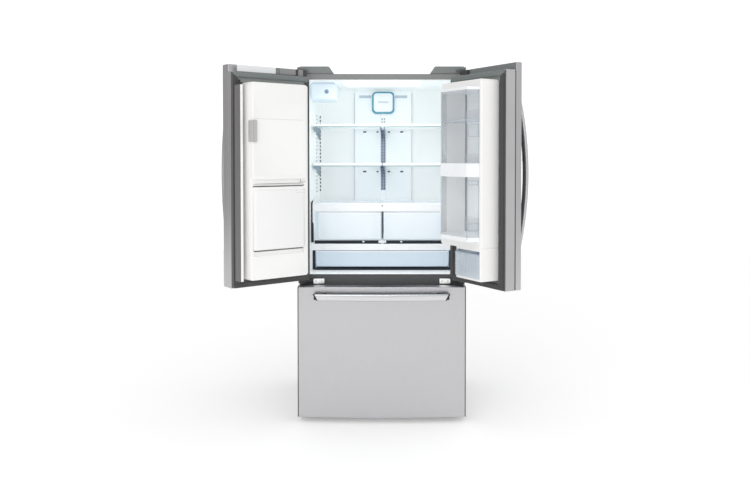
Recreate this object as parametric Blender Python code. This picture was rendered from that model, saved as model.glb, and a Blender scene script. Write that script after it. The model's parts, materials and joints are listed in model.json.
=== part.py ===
"""French door refrigerator, bottom freezer, door-in-door on the right side.

Metres, +Z up, front towards -Y.  All pieces are modelled in cabinet
coordinates (x = 0 mid-plane, y = 0 front face of the cabinet, z = 0 floor) with
the doors closed, then hung on empties that stand on the joint axes.
"""
import bpy
import bmesh
import math
from mathutils import Matrix, Vector

for o in list(bpy.data.objects):
    bpy.data.objects.remove(o, do_unlink=True)

# ---------------------------------------------------------------- dimensions
G = 0.0003                    # gap between touching pieces
HW = 0.416                    # half width of cabinet and of the closed doors
CASE_T = 0.003                # side sheet, drawn thick
CASE_D = 0.710                # cabinet depth
CASE_TOP = 1.731
CASE_BOT = 0.020
DOOR_BOT = 0.712
DOOR_TOP = 1.742              # top of the front part of the doors
DOOR_TOP_REAR = 1.708         # top of the rear part of the doors
FRONT_EDGE = -0.090           # door front at the outer edges
BOW = 0.018                   # how far the front bulges at the middle
HX, HY = 0.402, -0.075        # door hinge axis
OPEN_L = 141.0                # rest angle of the left door, degrees from closed
OPEN_R = 121.0                # rest angle of the right door
LIN_W0, LIN_W1 = 0.377, 0.364  # fresh-food liner half width, front and back
LIN_Z0, LIN_Z1 = 0.728, 1.700
LIN_Y1 = 0.590
FRZ_W = 0.365
FRZ_Z0, FRZ_Z1 = 0.100, 0.645
DRAWER_Z0, DRAWER_Z1 = 0.028, 0.6755
OFF_X, OFF_Y = 0.041, -0.127  # moves the box of the open pose over the origin


def front_y(x):
    return FRONT_EDGE - BOW * (1.0 - (x / HW) ** 2)


# ---------------------------------------------------------------- materials
def material(name, rgb, rough=0.5, metal=0.0, alpha=1.0):
    m = bpy.data.materials.new(name)
    m.use_nodes = True
    b = m.node_tree.nodes["Principled BSDF"]
    b.inputs["Base Color"].default_value = (rgb[0], rgb[1], rgb[2], 1.0)
    b.inputs["Roughness"].default_value = rough
    b.inputs["Metallic"].default_value = metal
    b.inputs["Alpha"].default_value = alpha
    m.diffuse_color = (rgb[0], rgb[1], rgb[2], alpha)
    return m


LOOKS = {
    "steel": ((0.62, 0.62, 0.63), 0.32, 1.0, 1.0),
    "case": ((0.22, 0.23, 0.23), 0.5, 0.0, 1.0),
    "darkpl": ((0.10, 0.10, 0.105), 0.5, 0.0, 1.0),
    "white": ((0.86, 0.88, 0.90), 0.35, 0.0, 1.0),
    "clear": ((0.80, 0.88, 0.93), 0.08, 0.0, 0.35),
    "glass": ((0.78, 0.90, 0.88), 0.05, 0.0, 0.35),
    "gasket": ((0.06, 0.06, 0.065), 0.7, 0.0, 1.0),
    "chrome": ((0.80, 0.80, 0.80), 0.15, 1.0, 1.0),
    "galv": ((0.55, 0.56, 0.57), 0.45, 1.0, 1.0),
    "foam": ((0.80, 0.74, 0.55), 0.9, 0.0, 1.0),
    "black": ((0.03, 0.03, 0.03), 0.45, 0.0, 1.0),
    "copper": ((0.60, 0.33, 0.20), 0.35, 1.0, 1.0),
    "blue": ((0.55, 0.75, 0.88), 0.3, 0.0, 1.0),
    "grey": ((0.42, 0.42, 0.42), 0.45, 0.0, 1.0),
}

# ---------------------------------------------------------------- frames
ROOT = bpy.data.objects.new("cabinet_origin", None)
bpy.context.collection.objects.link(ROOT)
ROOT.location = (OFF_X, OFF_Y, 0.0)


class Pivot:
    """An empty on a joint axis, given in closed-door cabinet coordinates."""

    def __init__(self, name, pos, parent=None, turn=0.0):
        self.pos = Vector(pos)
        self.parent = parent
        self.e = bpy.data.objects.new(name, None)
        bpy.context.collection.objects.link(self.e)
        self.e.parent = parent.e if parent else ROOT
        base = parent.pos if parent else Vector((0, 0, 0))
        self.e.location = self.pos - base
        self.e.rotation_euler = (0.0, 0.0, math.radians(turn))


LEFT = Pivot("axis_left_door", (-HX, HY, 0.0), None, -OPEN_L)
RIGHT = Pivot("axis_right_door", (HX, HY, 0.0), None, OPEN_R)
OUTER = Pivot("axis_right_outer_panel", (HX, HY, 0.0), RIGHT, 0.0)
MULL = Pivot("axis_mullion", (-0.015, 0.013, 0.0), LEFT, 90.0)
ICE = Pivot("axis_ice_room_door", (-0.334, 0.0892, 0.0), LEFT, 0.0)
LATCH = Pivot("axis_ice_latch", (-0.066, 0.0962, 0.0), ICE, 0.0)
PADDLE = Pivot("axis_paddle", (-0.210, -0.080, 1.190), LEFT, 0.0)
FREEZE = Pivot("axis_freezer_drawer", (0, 0, 0), None, 0.0)


# ---------------------------------------------------------------- mesh tools
def link(name, bm, pivot, look, smooth=False):
    bmesh.ops.recalc_face_normals(bm, faces=bm.faces)
    off = pivot.pos if pivot else Vector((0, 0, 0))
    bmesh.ops.translate(bm, verts=bm.verts, vec=-off)
    me = bpy.data.meshes.new(name)
    bm.to_mesh(me)
    bm.free()
    if smooth:
        me.shade_smooth()
        me.set_sharp_from_angle(angle=math.radians(38))
    ob = bpy.data.objects.new(name, me)
    bpy.context.collection.objects.link(ob)
    ob.parent = pivot.e if pivot else ROOT
    if look:
        rgb, r, mt, al = LOOKS[look]
        me.materials.append(material(name + "_mat", rgb, r, mt, al))
    return ob


def add_prism(bm, pts, axis, a0, a1):
    def at(p, a):
        if axis == "z":
            return (p[0], p[1], a)
        if axis == "y":
            return (p[0], a, p[1])
        return (a, p[0], p[1])
    lo = [bm.verts.new(at(p, a0)) for p in pts]
    hi = [bm.verts.new(at(p, a1)) for p in pts]
    n = len(pts)
    bm.faces.new(lo[::-1])
    bm.faces.new(hi)
    for i in range(n):
        j = (i + 1) % n
        bm.faces.new((lo[i], lo[j], hi[j], hi[i]))


def fillet(pts, r, n=3):
    """Round every corner of a polygon; r is one radius or one per corner."""
    out = []
    m = len(pts)
    for i in range(m):
        rr = r[i] if isinstance(r, (list, tuple)) else r
        p = Vector(pts[i])
        a = Vector(pts[i - 1]) - p
        b = Vector(pts[(i + 1) % m]) - p
        if rr <= 0 or a.length < 1e-6 or b.length < 1e-6:
            out.append(tuple(p))
            continue
        a.normalize()
        b.normalize()
        ang = a.angle(b)
        d = rr / math.tan(ang / 2)
        c = p + (a + b).normalized() * (rr / math.sin(ang / 2))
        s = p + a * d - c
        e = p + b * d - c
        sweep = s.angle(e)
        for k in range(n + 1):
            t = k / n
            v = (s * math.sin((1 - t) * sweep) + e * math.sin(t * sweep)) / math.sin(sweep)
            out.append(tuple(c + v))
    return out


def rect(x0, x1, y0, y1):
    return [(x0, y0), (x1, y0), (x1, y1), (x0, y1)]


def prism(name, pts, axis, a0, a1, look, pivot=None, smooth=False):
    bm = bmesh.new()
    add_prism(bm, pts, axis, a0, a1)
    return link(name, bm, pivot, look, smooth)


def box(name, x0, x1, y0, y1, z0, z1, look, pivot=None, bevel=0.0):
    ob = prism(name, rect(x0, x1, y0, y1), "z", z0, z1, look, pivot)
    if bevel:
        m = ob.modifiers.new("edge", "BEVEL")
        m.width = bevel
        m.segments = 2
        m.limit_method = "ANGLE"
    return ob


def add_cyl(bm, c, axis, r, a0, a1, n=24):
    pts = [(c[0] + r * math.cos(2 * math.pi * k / n), c[1] + r * math.sin(2 * math.pi * k / n)) for k in range(n)]
    add_prism(bm, pts, axis, a0, a1)


def tool(ob):
    ob.hide_render = True
    ob.display_type = "WIRE"
    return ob


COUNT = [0]


def cut(target, kind, pivot, *solids):
    """Boolean each solid (a function that fills a bmesh) into target."""
    for fill in solids:
        COUNT[0] += 1
        bm = bmesh.new()
        fill(bm)
        t = tool(link("shape_%03d" % COUNT[0], bm, pivot, None))
        m = target.modifiers.new("b%03d" % COUNT[0], "BOOLEAN")
        m.operation = kind
        m.solver = "EXACT"
        m.object = t
    return target


def B(x0, x1, y0, y1, z0, z1):
    return lambda bm: add_prism(bm, rect(x0, x1, y0, y1), "z", z0, z1)


def P(pts, axis, a0, a1):
    return lambda bm: add_prism(bm, pts, axis, a0, a1)


def C(c, axis, r, a0, a1, n=24):
    return lambda bm: add_cyl(bm, c, axis, r, a0, a1, n)


def mirror_pts(pts, s):
    return [(s * x, y) for x, y in pts]


def tub(name, pts_out, pts_in, z0, z1, floor, look, pivot=None):
    ob = prism(name, pts_out, "z", z0, z1, look, pivot)
    cut(ob, "DIFFERENCE", pivot, P(pts_in, "z", z0 + floor, z1 + 0.01))
    return ob


def window(name, ox0, ox1, oz0, oz1, wins, y0, y1, look, pivot=None, bow=False):
    """A flat frame in the XZ plane with rectangular windows."""
    ob = prism(name, rect(ox0, ox1, oz0, oz1), "y", y0, y1, look, pivot)
    for w in wins:
        cut(ob, "DIFFERENCE", pivot, P(rect(*w), "y", y0 - 0.02, y1 + 0.02))
    return ob


def ring(name, o, i, y0, y1, look, pivot=None, r=0.010):
    """A closed seal ring in the XZ plane: outer rectangle o, inner rectangle i."""
    bm = bmesh.new()
    po = fillet(rect(*o), r, 3)
    pi = fillet(rect(*i), r * 0.6, 3)
    n = len(po)
    vs = []
    for pts in (po, pi):
        for y in (y0, y1):
            vs.append([bm.verts.new((p[0], y, p[1])) for p in pts])
    o0, o1, i0, i1 = vs
    for k in range(n):
        j = (k + 1) % n
        bm.faces.new((o0[k], o0[j], o1[j], o1[k]))
        bm.faces.new((i0[k], i1[k], i1[j], i0[j]))
        bm.faces.new((o0[k], i0[k], i0[j], o0[j]))
        bm.faces.new((o1[k], o1[j], i1[j], i1[k]))
    return link(name, bm, pivot, look)


# ================================================================ cabinet
prism("outer_case",
      [(-HW, CASE_BOT), (-HW + CASE_T, CASE_BOT), (-HW + CASE_T, CASE_TOP - CASE_T), (HW - CASE_T, CASE_TOP - CASE_T),
       (HW - CASE_T, CASE_BOT), (HW, CASE_BOT), (HW, CASE_TOP), (-HW, CASE_TOP)],
      "y", 0.004 + G, CASE_D - 0.003 - G, "case")

LT = 0.003                                        # liner wall
plan_in = [(-LIN_W0, -0.01), (LIN_W0, -0.01), (LIN_W1, LIN_Y1), (-LIN_W1, LIN_Y1)]
plan_out = [(-LIN_W0 - LT, 0.0), (LIN_W0 + LT, 0.0), (LIN_W1 + LT, LIN_Y1 + LT), (-LIN_W1 - LT, LIN_Y1 + LT)]
plan_cut = [(-LIN_W0 - LT - G, -0.01), (LIN_W0 + LT + G, -0.01), (LIN_W1 + LT + G, LIN_Y1 + LT + G),
            (-LIN_W1 - LT - G, LIN_Y1 + LT + G)]
frz_in = [(-0.01, FRZ_Z0), (0.425, FRZ_Z0), (0.425, 0.325), (0.600, 0.325), (0.600, FRZ_Z1), (-0.01, FRZ_Z1)]
frz_out = [(0.0, FRZ_Z0 - LT), (0.425 + LT, FRZ_Z0 - LT), (0.425 + LT, 0.325 - LT), (0.600 + LT, 0.325 - LT),
           (0.600 + LT, FRZ_Z1 + LT), (0.0, FRZ_Z1 + LT)]
frz_cut = [(-0.01, FRZ_Z0 - LT - G), (0.425 + LT + G, FRZ_Z0 - LT - G), (0.425 + LT + G, 0.325 - LT - G),
           (0.600 + LT + G, 0.325 - LT - G), (0.600 + LT + G, FRZ_Z1 + LT + G), (-0.01, FRZ_Z1 + LT + G)]

foam = box("insulated_body", -HW + CASE_T + G, HW - CASE_T - G, 0.004 + G, CASE_D - 0.003 - G,
           0.0553, CASE_TOP - CASE_T - G, "foam")
cut(foam, "DIFFERENCE", None,
    P(plan_cut, "z", LIN_Z0 - LT - G, LIN_Z1 + LT + G),
    P(frz_cut, "x", -FRZ_W - LT - G, FRZ_W + LT + G),
    B(-0.5, 0.5, 0.455, 0.8, 0.0, 0.295))

window("front_frame", -HW, HW, CASE_BOT, CASE_TOP,
       [(-LIN_W0 - LT - G, LIN_W0 + LT + G, LIN_Z0 - LT - G, LIN_Z1 + LT + G),
        (-FRZ_W - LT - G, FRZ_W + LT + G, FRZ_Z0 - LT - G, FRZ_Z1 + LT + G)], 0.0, 0.004, "case")

lin = prism("fridge_liner", plan_out, "z", LIN_Z0 - LT, LIN_Z1 + LT, "white")
cut(lin, "DIFFERENCE", None, P(plan_in, "z", LIN_Z0, LIN_Z1))
cut(lin, "UNION", None, B(-0.3705, -0.243, 0.120, 0.360, 1.612, LIN_Z1 + 0.001))

frz = prism("freezer_liner", frz_out, "x", -FRZ_W - LT, FRZ_W + LT, "white")
cut(frz, "DIFFERENCE", None, P(frz_in, "x", -FRZ_W, FRZ_W))

box("back_panel", -HW, HW, CASE_D - 0.003, CASE_D, 0.296, CASE_TOP, "galv")
mc = box("machine_cover", -HW + 0.004, HW - 0.004, CASE_D - 0.003, CASE_D, 0.060, 0.295, "black")
for k in range(10):
    xk = -0.27 + 0.06 * k
    cut(mc, "DIFFERENCE", None, B(xk - 0.022, xk + 0.022, CASE_D - 0.02, CASE_D + 0.02, 0.140, 0.152))

base = prism("base_frame", [(-0.402, 0.014), (-0.394, 0.014), (-0.394, 0.043), (0.394, 0.043), (0.394, 0.014),
                            (0.402, 0.014), (0.402, 0.055), (-0.402, 0.055)], "y", 0.012, 0.700, "galv")
for s in (-1, 1):
    cut(base, "DIFFERENCE", None, C((s * 0.33, 0.06), "z", 0.0070, 0.0, 0.08, 16))
cut(base, "UNION", None, B(-0.398, 0.398, 0.006, 0.020, 0.022, 0.050))

# machine compartment
bm = bmesh.new()
rings = [(0.0605, 0.070), (0.066, 0.082), (0.120, 0.088), (0.185, 0.088), (0.225, 0.076), (0.245, 0.050), (0.250, 0.020)]
N = 20
prev = None
for z, r in rings:
    cur = [bm.verts.new((0.22 + 1.15 * r * math.cos(2 * math.pi * k / N), 0.585 + r * math.sin(2 * math.pi * k / N), z))
           for k in range(N)]
    if prev:
        for k in range(N):
            bm.faces.new((prev[k], prev[(k + 1) % N], cur[(k + 1) % N], cur[k]))
    else:
        bm.faces.new(cur[::-1])
    prev = cur
bm.faces.new(prev)
comp = link("compressor", bm, None, "black", True)
cut(comp, "UNION", None, B(0.125, 0.315, 0.505, 0.665, 0.0553, 0.063))

cond = box("condenser", -0.36, -0.19, 0.50, 0.68, 0.0653, 0.235, "black")
for k in range(5):
    zk = 0.085 + 0.030 * k
    cut(cond, "DIFFERENCE", None, B(-0.352, -0.198, 0.49, 0.69, zk, zk + 0.018))
cut(cond, "UNION", None, B(-0.352, -0.198, 0.52, 0.66, 0.0553, 0.067))


def fan(name, c, axis, r, t0, t1, look, pivot):
    """Hub and blades as one solid, with blades as pitched slabs."""
    bm = bmesh.new()
    add_cyl(bm, c, axis, 0.018, t0, t1, 16)
    ob = link(name, bm, pivot, look)
    for k in range(5):
        a = 2 * math.pi * k / 5
        def blade(bm, a=a):
            n0 = [bm.verts.new(v) for v in _blade(c, axis, r, t0, t1, a)]
            f = [(0, 1, 2, 3), (7, 6, 5, 4), (0, 4, 5, 1), (1, 5, 6, 2), (2, 6, 7, 3), (3, 7, 4, 0)]
            for q in f:
                bm.faces.new([n0[i] for i in q])
        cut(ob, "UNION", pivot, blade)
    return ob


def _blade(c, axis, r, t0, t1, a):
    """Corners of one flat pitched blade, as a skewed box."""
    tm, pitch = (t0 + t1) / 2, math.radians(28)
    half = (t1 - t0) * 0.42 / math.sin(pitch)
    out = []
    for th in (-0.0014, 0.0014):
        for rr in (0.010, r):
            for w in (-half, half):
                v = w * math.cos(pitch) - th * math.sin(pitch)
                t = tm + w * math.sin(pitch) + th * math.cos(pitch)
                p = (c[0] + rr * math.cos(a) - v * math.sin(a), c[1] + rr * math.sin(a) + v * math.cos(a))
                out.append((p[0], t, p[1]) if axis == "y" else (t, p[0], p[1]))
    a0, a1, a2, a3, b0, b1, b2, b3 = out
    return [a0, a1, a3, a2, b0, b1, b3, b2]


CFAN = Pivot("axis_condenser_fan", (-0.055, 0.600, 0.150))
EFAN = Pivot("axis_evaporator_fan", (0.0, 0.560, 0.560))
fan("condenser_fan", (0.600, 0.150), "x", 0.070, -0.070, -0.040, "black", CFAN)
fan("evaporator_fan", (0.0, 0.560), "y", 0.058, 0.548, 0.572, "grey", EFAN)

evap = box("evaporator", -0.24, 0.24, 0.545, 0.595, 0.335, 0.480, "galv")
for k in range(6):
    xk = -0.20 + 0.080 * k
    cut(evap, "DIFFERENCE", None, B(xk - 0.022, xk + 0.022, 0.53, 0.61, 0.350, 0.465))
duct = box("freezer_duct_cover", -0.355, 0.355, 0.520, 0.528, 0.330, 0.640, "white")
cut(duct, "DIFFERENCE", None, C((0.0, 0.560), "y", 0.062, 0.50, 0.55, 20))

# fresh-food interior
panel = prism("air_duct_panel",
              [(-0.163, 0.5897), (-0.163, 0.577), (-0.154, 0.574), (-0.022, 0.572), (-0.013, 0.564), (0.013, 0.564),
               (0.022, 0.572), (0.154, 0.574), (0.163, 0.577), (0.163, 0.5897)], "z", 1.080, 1.690, "white")
cov = prism("air_filter_cover", fillet(rect(-0.0635, 0.0635, 1.563, 1.688), 0.022, 4), "y", 0.543, 0.5637, "white")
m = cov.modifiers.new("edge", "BEVEL")
m.width = 0.004
m.segments = 2
m.limit_method = "ANGLE"
m.angle_limit = math.radians(60)
box("ceiling_light", -0.195, 0.195, 0.050, 0.215, 1.685, 1.6997, "clear", None, 0.004)


def shelf(name, s, z):
    """Half-width glass shelf: pane, front and rear rail, two cantilever arms."""
    ob = box(name, *sorted((s * 0.005, s * 0.358)), 0.160, 0.535, z + 0.006, z + 0.012, "glass")
    cut(ob, "UNION", None, B(*sorted((s * 0.004, s * 0.3595)), 0.150, 0.162, z, z + 0.016),
        B(*sorted((s * 0.004, s * 0.3595)), 0.533, 0.548, z, z + 0.016))
    for a, b in ((0.0085, 0.0125), (0.350, 0.354)):
        arm = [(0.175, z + 0.008), (0.175, z - 0.004), (0.420, z - 0.020), (0.500, z - 0.045), (0.5565, z - 0.045),
               (0.5565, z + 0.008)]
        cut(ob, "UNION", None, P(arm, "x", *sorted((s * a, s * b))))
    return ob


shelf("shelf_upper_left", -1, 1.471)
shelf("shelf_upper_right", 1, 1.471)
shelf("shelf_lower_left", -1, 1.266)
shelf("shelf_lower_right", 1, 1.266)


def bowed_front(x0, x1, y, bow, n=8):
    xm, h = (x0 + x1) / 2, (x1 - x0) / 2
    return [(x0 + (x1 - x0) * k / n, y - bow * (1 - ((x0 + (x1 - x0) * k / n - xm) / h) ** 2)) for k in range(n + 1)]


ccs = prism("crisper_cover_shelf", bowed_front(-0.3615, 0.3615, 0.156, 0.007) + [(0.3615, 0.560), (-0.3615, 0.560)], "z",
            1.052, 1.060, "white")
cut(ccs, "UNION", None,
    P(bowed_front(-0.3625, 0.3625, 0.154, 0.007) + bowed_front(-0.3625, 0.3625, 0.165, 0.007)[::-1], "z", 1.030, 1.074),
    B(-0.0025, 0.0025, 0.170, 0.550, 0.885, 1.056),
    B(-0.3625, -0.3545, 0.160, 0.550, 0.915, 1.056), B(0.3545, 0.3625, 0.160, 0.550, 0.915, 1.056))

pc = prism("pantry_cover", rect(-0.3635, 0.3635, 0.112, 0.560), "z", 0.842, 0.850, "white")
cut(pc, "UNION", None,
    P(bowed_front(-0.3665, 0.3665, 0.108, 0.004) + bowed_front(-0.3665, 0.3665, 0.120, 0.004)[::-1], "z", 0.832, 0.866),
    B(-0.006, 0.006, 0.150, 0.550, 0.846, 0.8785), B(-0.345, -0.335, 0.170, 0.550, 0.846, 0.8785),
    B(0.335, 0.345, 0.170, 0.550, 0.846, 0.8785),
    B(-0.3635, -0.3535, 0.130, 0.550, 0.7285, 0.846), B(0.3535, 0.3635, 0.130, 0.550, 0.7285, 0.846))


def drawer(name, x0, x1, y0, y1, z0, z1, bow, t, pivot, look="clear"):
    out = bowed_front(x0, x1, y0 + bow, bow) + [(x1, y1), (x0, y1)]
    inn = bowed_front(x0 + t, x1 - t, y0 + bow + t + 0.001, bow) + [(x1 - t, y1 - t), (x0 + t, y1 - t)]
    return tub(name, out, inn, z0, z1, t, look, pivot)


drawer("crisper_left", -0.335, -0.0055, 0.152, 0.545, 0.880, 1.026, 0.004, 0.003, None)
drawer("crisper_right", 0.0055, 0.335, 0.152, 0.545, 0.880, 1.026, 0.004, 0.003, None)
drawer("pantry_drawer", -0.345, 0.345, 0.104, 0.500, 0.747, 0.829, 0.004, 0.003, None)

FILT = Pivot("axis_water_filter_cover", (-0.3665, 0.112, 0.0))
box("water_filter_cover", -0.366, -0.2385, 0.1065, 0.1165, 1.612, 1.6965, "blue", FILT, 0.003)

# hinges and covers
for s, side in ((-1, "left"), (1, "right")):
    arm = mirror_pts([(0.300, 0.015), (0.410, 0.015), (0.413, -0.075), (0.410, -0.083), (0.402, -0.086), (0.393, -0.083),
                      (0.388, -0.070), (0.3745, 0.0), (0.3740, 0.0120), (0.300, 0.0120)], s)
    hg = prism("top_hinge_" + side, arm, "z", 1.7465, 1.7505, "galv")
    cut(hg, "UNION", None, B(*sorted((s * 0.300, s * 0.408)), 0.012, 0.110, CASE_TOP + G, 1.7495),
        C((s * HX, HY), "z", 0.0045, 1.690, 1.748, 16))
    # plastic cover over the hinge, hollow underneath
    prof = [(0.4155, CASE_TOP + G), (0.4155, 1.764), (0.409, 1.7705), (0.262, 1.7705), (0.240, CASE_TOP + G)]
    hc = prism("hinge_cover_" + side, mirror_pts(prof, s), "y", 0.0045, 0.135, "case")
    cut(hc, "UNION", None, B(*sorted((s * 0.372, s * 0.4155)), -0.093, 0.010, 1.7445, 1.7700))
    cut(hc, "DIFFERENCE", None,
        B(*sorted((s * 0.294, s * 0.4105)), 0.0105, 0.1165, CASE_TOP - 0.01, 1.7545),
        B(*sorted((s * 0.3718 - s * 0.004, s * 0.4135)), -0.0905, 0.030, 1.740, 1.7545))
    mh = prism("middle_hinge_" + side,
               mirror_pts([(0.288, -0.0003), (0.288, -0.012), (0.375, -0.020), (0.388, -0.068), (0.393, -0.083),
                           (0.402, -0.086), (0.411, -0.083), (0.4135, -0.075), (0.4135, -0.0003)], s),
               "z", 0.6925, 0.6985, "chrome")
    cut(mh, "UNION", None, B(*sorted((s * 0.288, s * 0.4135)), -0.0043, -0.0003, 0.6795, 0.7055),
        C((s * HX, HY), "z", 0.0045, 0.695, 0.730, 16))
    LEG = Pivot("axis_leveling_leg_" + side, (s * 0.33, 0.06, 0.0))
    bm = bmesh.new()
    rr = [(0.0, 0.022), (0.006, 0.022), (0.011, 0.012), (0.011, 0.0062), (0.0535, 0.0062)]
    prev = None
    for z, r in rr:
        cur = [bm.verts.new((s * 0.33 + r * math.cos(2 * math.pi * k / 16), 0.06 + r * math.sin(2 * math.pi * k / 16), z))
               for k in range(16)]
        if prev:
            for k in range(16):
                bm.faces.new((prev[k], prev[(k + 1) % 16], cur[(k + 1) % 16], cur[k]))
        else:
            bm.faces.new(cur[::-1])
        prev = cur
    bm.faces.new(prev)
    link("leveling_leg_" + side, bm, LEG, "galv", True)
    ROL = Pivot("axis_rear_roller_" + side, (s * 0.37, 0.655, 0.0185))
    bm = bmesh.new()
    add_cyl(bm, (0.655, 0.0185), "x", 0.0185, *sorted((s * 0.355, s * 0.380)), 24)
    ro = link("rear_roller_" + side, bm, ROL, "black", True)
    cut(ro, "UNION", ROL, C((0.655, 0.0185), "x", 0.004, *sorted((s * 0.352, s * 0.3935)), 12))


# ================================================================ doors
def front_arc(x0, x1, n, inset=0.0):
    return [(x0 + (x1 - x0) * k / n, front_y(x0 + (x1 - x0) * k / n) + inset) for k in range(n + 1)]


def skin_plan(x0, x1, yb, n=8):
    """Plan outline of a door panel: bowed front with eased corners, flat back."""
    arc = front_arc(x0 + 0.004, x1 - 0.005, n)
    return [(x0, yb), (x0, arc[0][1] + 0.004)] + arc + [(x1, arc[-1][1] + 0.005), (x1, yb)]


SKIN = 0.0015                 # steel skin of the doors


def cavity_plan(x0, x1, yb, n=8):
    """The hollow inside a door panel, one skin thickness in from skin_plan."""
    arc = front_arc(x0 + 0.006, x1 - 0.007, n, SKIN)
    return [(x0 + SKIN, yb - SKIN), (x0 + SKIN, arc[0][1] + 0.005)] + arc + [(x1 - SKIN, arc[-1][1] + 0.005),
                                                                            (x1 - SKIN, yb - SKIN)]


# ---- left door
shell = prism("left_door_shell", mirror_pts(skin_plan(0.002, HW, -0.031), -1), "z", DOOR_BOT, DOOR_TOP, "steel", LEFT)
cut(shell, "DIFFERENCE", LEFT, P(mirror_pts(cavity_plan(0.002, HW, -0.031), -1), "z", DOOR_BOT + SKIN, 1.7020))
cut(shell, "UNION", LEFT, B(-0.3020, -0.1180, -0.1000, -0.0320, 0.9680, 1.3620))
cut(shell, "DIFFERENCE", LEFT,
    B(-0.43, 0.01, -0.052, 0.0, DOOR_TOP_REAR, 1.80),          # lower rear ledge
    B(-0.43, -0.352, -0.12, 0.0, DOOR_TOP_REAR - 0.004, 1.80),  # hinge notch
    C((-HX, HY), "z", 0.0065, 0.60, 0.735, 16),
    C((-HX, HY), "z", 0.0065, 1.684, 1.80, 16),
    B(-0.3003, -0.1197, -0.20, -0.0447, 0.9697, 1.3603))

ll = box("left_door_liner", -0.412, -0.006, -0.031 + G, -0.013, 0.716, 1.704, "white", LEFT)
cut(ll, "UNION", LEFT,
    P(mirror_pts([(0.040, -0.020), (0.040, 0.078), (0.046, 0.084), (0.337, 0.084), (0.347, 0.074), (0.360, -0.020)], -1),
      "z", 0.755, 1.655))
cut(ll, "DIFFERENCE", LEFT,
    B(-0.322, -0.054, -0.022, 0.12, 1.226, 1.641),
    B(-0.326, -0.050, -0.005, 0.12, 0.885, 1.196),
    B(-0.326, -0.050, -0.005, 0.076, 0.768, 0.890),
    B(-0.320, -0.056, 0.060, 0.12, 0.866, 0.890))

ring("left_door_gasket", (-0.411, -0.008, 0.718, 1.702), (-0.389, -0.028, 0.740, 1.682), -0.013 + G, -0.0012, "gasket", LEFT)


def door_handle(name, s, pivot, pocket=False):
    z0, z1, n = 0.870, 1.600, 22
    yd = -0.1083
    out, inn = [], []
    for k in range(n + 1):
        t = k / n
        z = z0 + (z1 - z0) * t
        y = -0.1165 - 0.0560 * math.sin(math.pi * t) ** 0.75
        out.append((y, z))
    th = 0.021
    for k in range(1, n):
        t = k / n
        z = z0 + (z1 - z0) * t
        y = -0.1165 - 0.0560 * math.sin(math.pi * t) ** 0.75 + th
        inn.append((min(y, yd), z))
    pts = [(yd, z0)] + out + [(yd, z1)] + inn[::-1]
    ob = prism(name, pts, "x", *sorted((s * 0.024, s * 0.052)), "steel", pivot, True)
    if pocket:
        cut(ob, "DIFFERENCE", pivot, B(0.0297, 0.0463, -0.163, -0.140, 1.2947, 1.3253))
    return ob


door_handle("left_door_handle", -1, LEFT)

bo = fillet(mirror_pts([(0.0515, -0.004), (0.0515, 0.0965), (0.3245, 0.0965), (0.3245, -0.004)], -1), [0.0, 0.014, 0.014, 0.0], 3)
bi = fillet(mirror_pts([(0.0545, -0.001), (0.0545, 0.0935), (0.3215, 0.0935), (0.3215, -0.001)], -1), [0.0, 0.011, 0.011, 0.0], 3)
tub("left_door_bin", bo, bi, 0.8915, 1.180, 0.003, "white", LEFT)

ib = tub("ice_bin", mirror_pts(rect(0.060, 0.316, 0.000, 0.078), -1), mirror_pts(rect(0.063, 0.313, 0.003, 0.075), -1),
         1.232, 1.470, 0.003, "clear", LEFT)

dh = prism("dispenser_housing", rect(-0.300, -0.120, 0.970, 1.360), "y", -0.1110, -0.045, "darkpl", LEFT)
cut(dh, "DIFFERENCE", LEFT, B(-0.286, -0.134, -0.20, -0.058, 0.986, 1.205))
pdl = prism("dispenser_paddle", [(-0.084, 1.196), (-0.076, 1.196), (-0.078, 1.075), (-0.086, 1.070), (-0.088, 1.075)], "x",
            -0.232, -0.188, "grey", PADDLE)

icd = prism("ice_room_door", fillet(rect(-0.334, -0.043, 1.212, 1.653), 0.006, 2), "y", 0.0843, 0.0942, "white", ICE)
prism("ice_room_latch", mirror_pts([(0.066, 0.0962), (0.066, 0.1045), (0.0375, 0.1045), (0.0360, 0.1030), (0.0360, 0.0720),
                                    (0.0390, 0.0720), (0.0390, 0.0962)], -1), "z", 1.383, 1.4815, "grey", LATCH)

mb = prism("mullion_bar", fillet(rect(-0.027, 0.027, 0.001, 0.019), 0.0075, 3), "z", 0.742, 1.652, "darkpl", MULL)

# ---- right door, inner frame with the door-in-door compartment
rf = box("right_door_frame", 0.002, HW, -0.0525, -0.013, DOOR_BOT, DOOR_TOP_REAR, "white", RIGHT)
cut(rf, "UNION", RIGHT,
    P([(0.050, -0.020), (0.050, 0.080), (0.055, 0.085), (0.360, 0.085), (0.366, 0.079), (0.366, -0.020)], "z", 0.900, 1.665),
    P([(0.050, -0.030), (0.050, 0.080), (0.055, 0.085), (0.235, 0.085), (0.345, 0.004), (0.345, -0.030)], "z", 0.757, 0.905),
    B(0.386, HW, -0.0895, -0.045, DOOR_BOT, 0.7240), B(0.386, HW, -0.0895, -0.045, 1.7015, DOOR_TOP_REAR))
cut(rf, "DIFFERENCE", RIGHT,
    B(0.0617, 0.3543, -0.10, 0.12, 0.9347, 1.6303),
    P([(0.0597, 0.0), (0.0597, 0.12), (0.235, 0.12), (0.235, 0.074), (0.334, 0.001), (0.334, 0.0)], "z", 0.768, 0.892),
    C((HX, HY), "z", 0.0065, 0.60, 0.80, 16), C((HX, HY), "z", 0.0065, 1.60, 1.80, 16))

ring("right_frame_gasket", (0.008, 0.411, 0.718, 1.702), (0.030, 0.390, 0.740, 1.682), -0.013 + G, -0.0012, "gasket", RIGHT)

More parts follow.
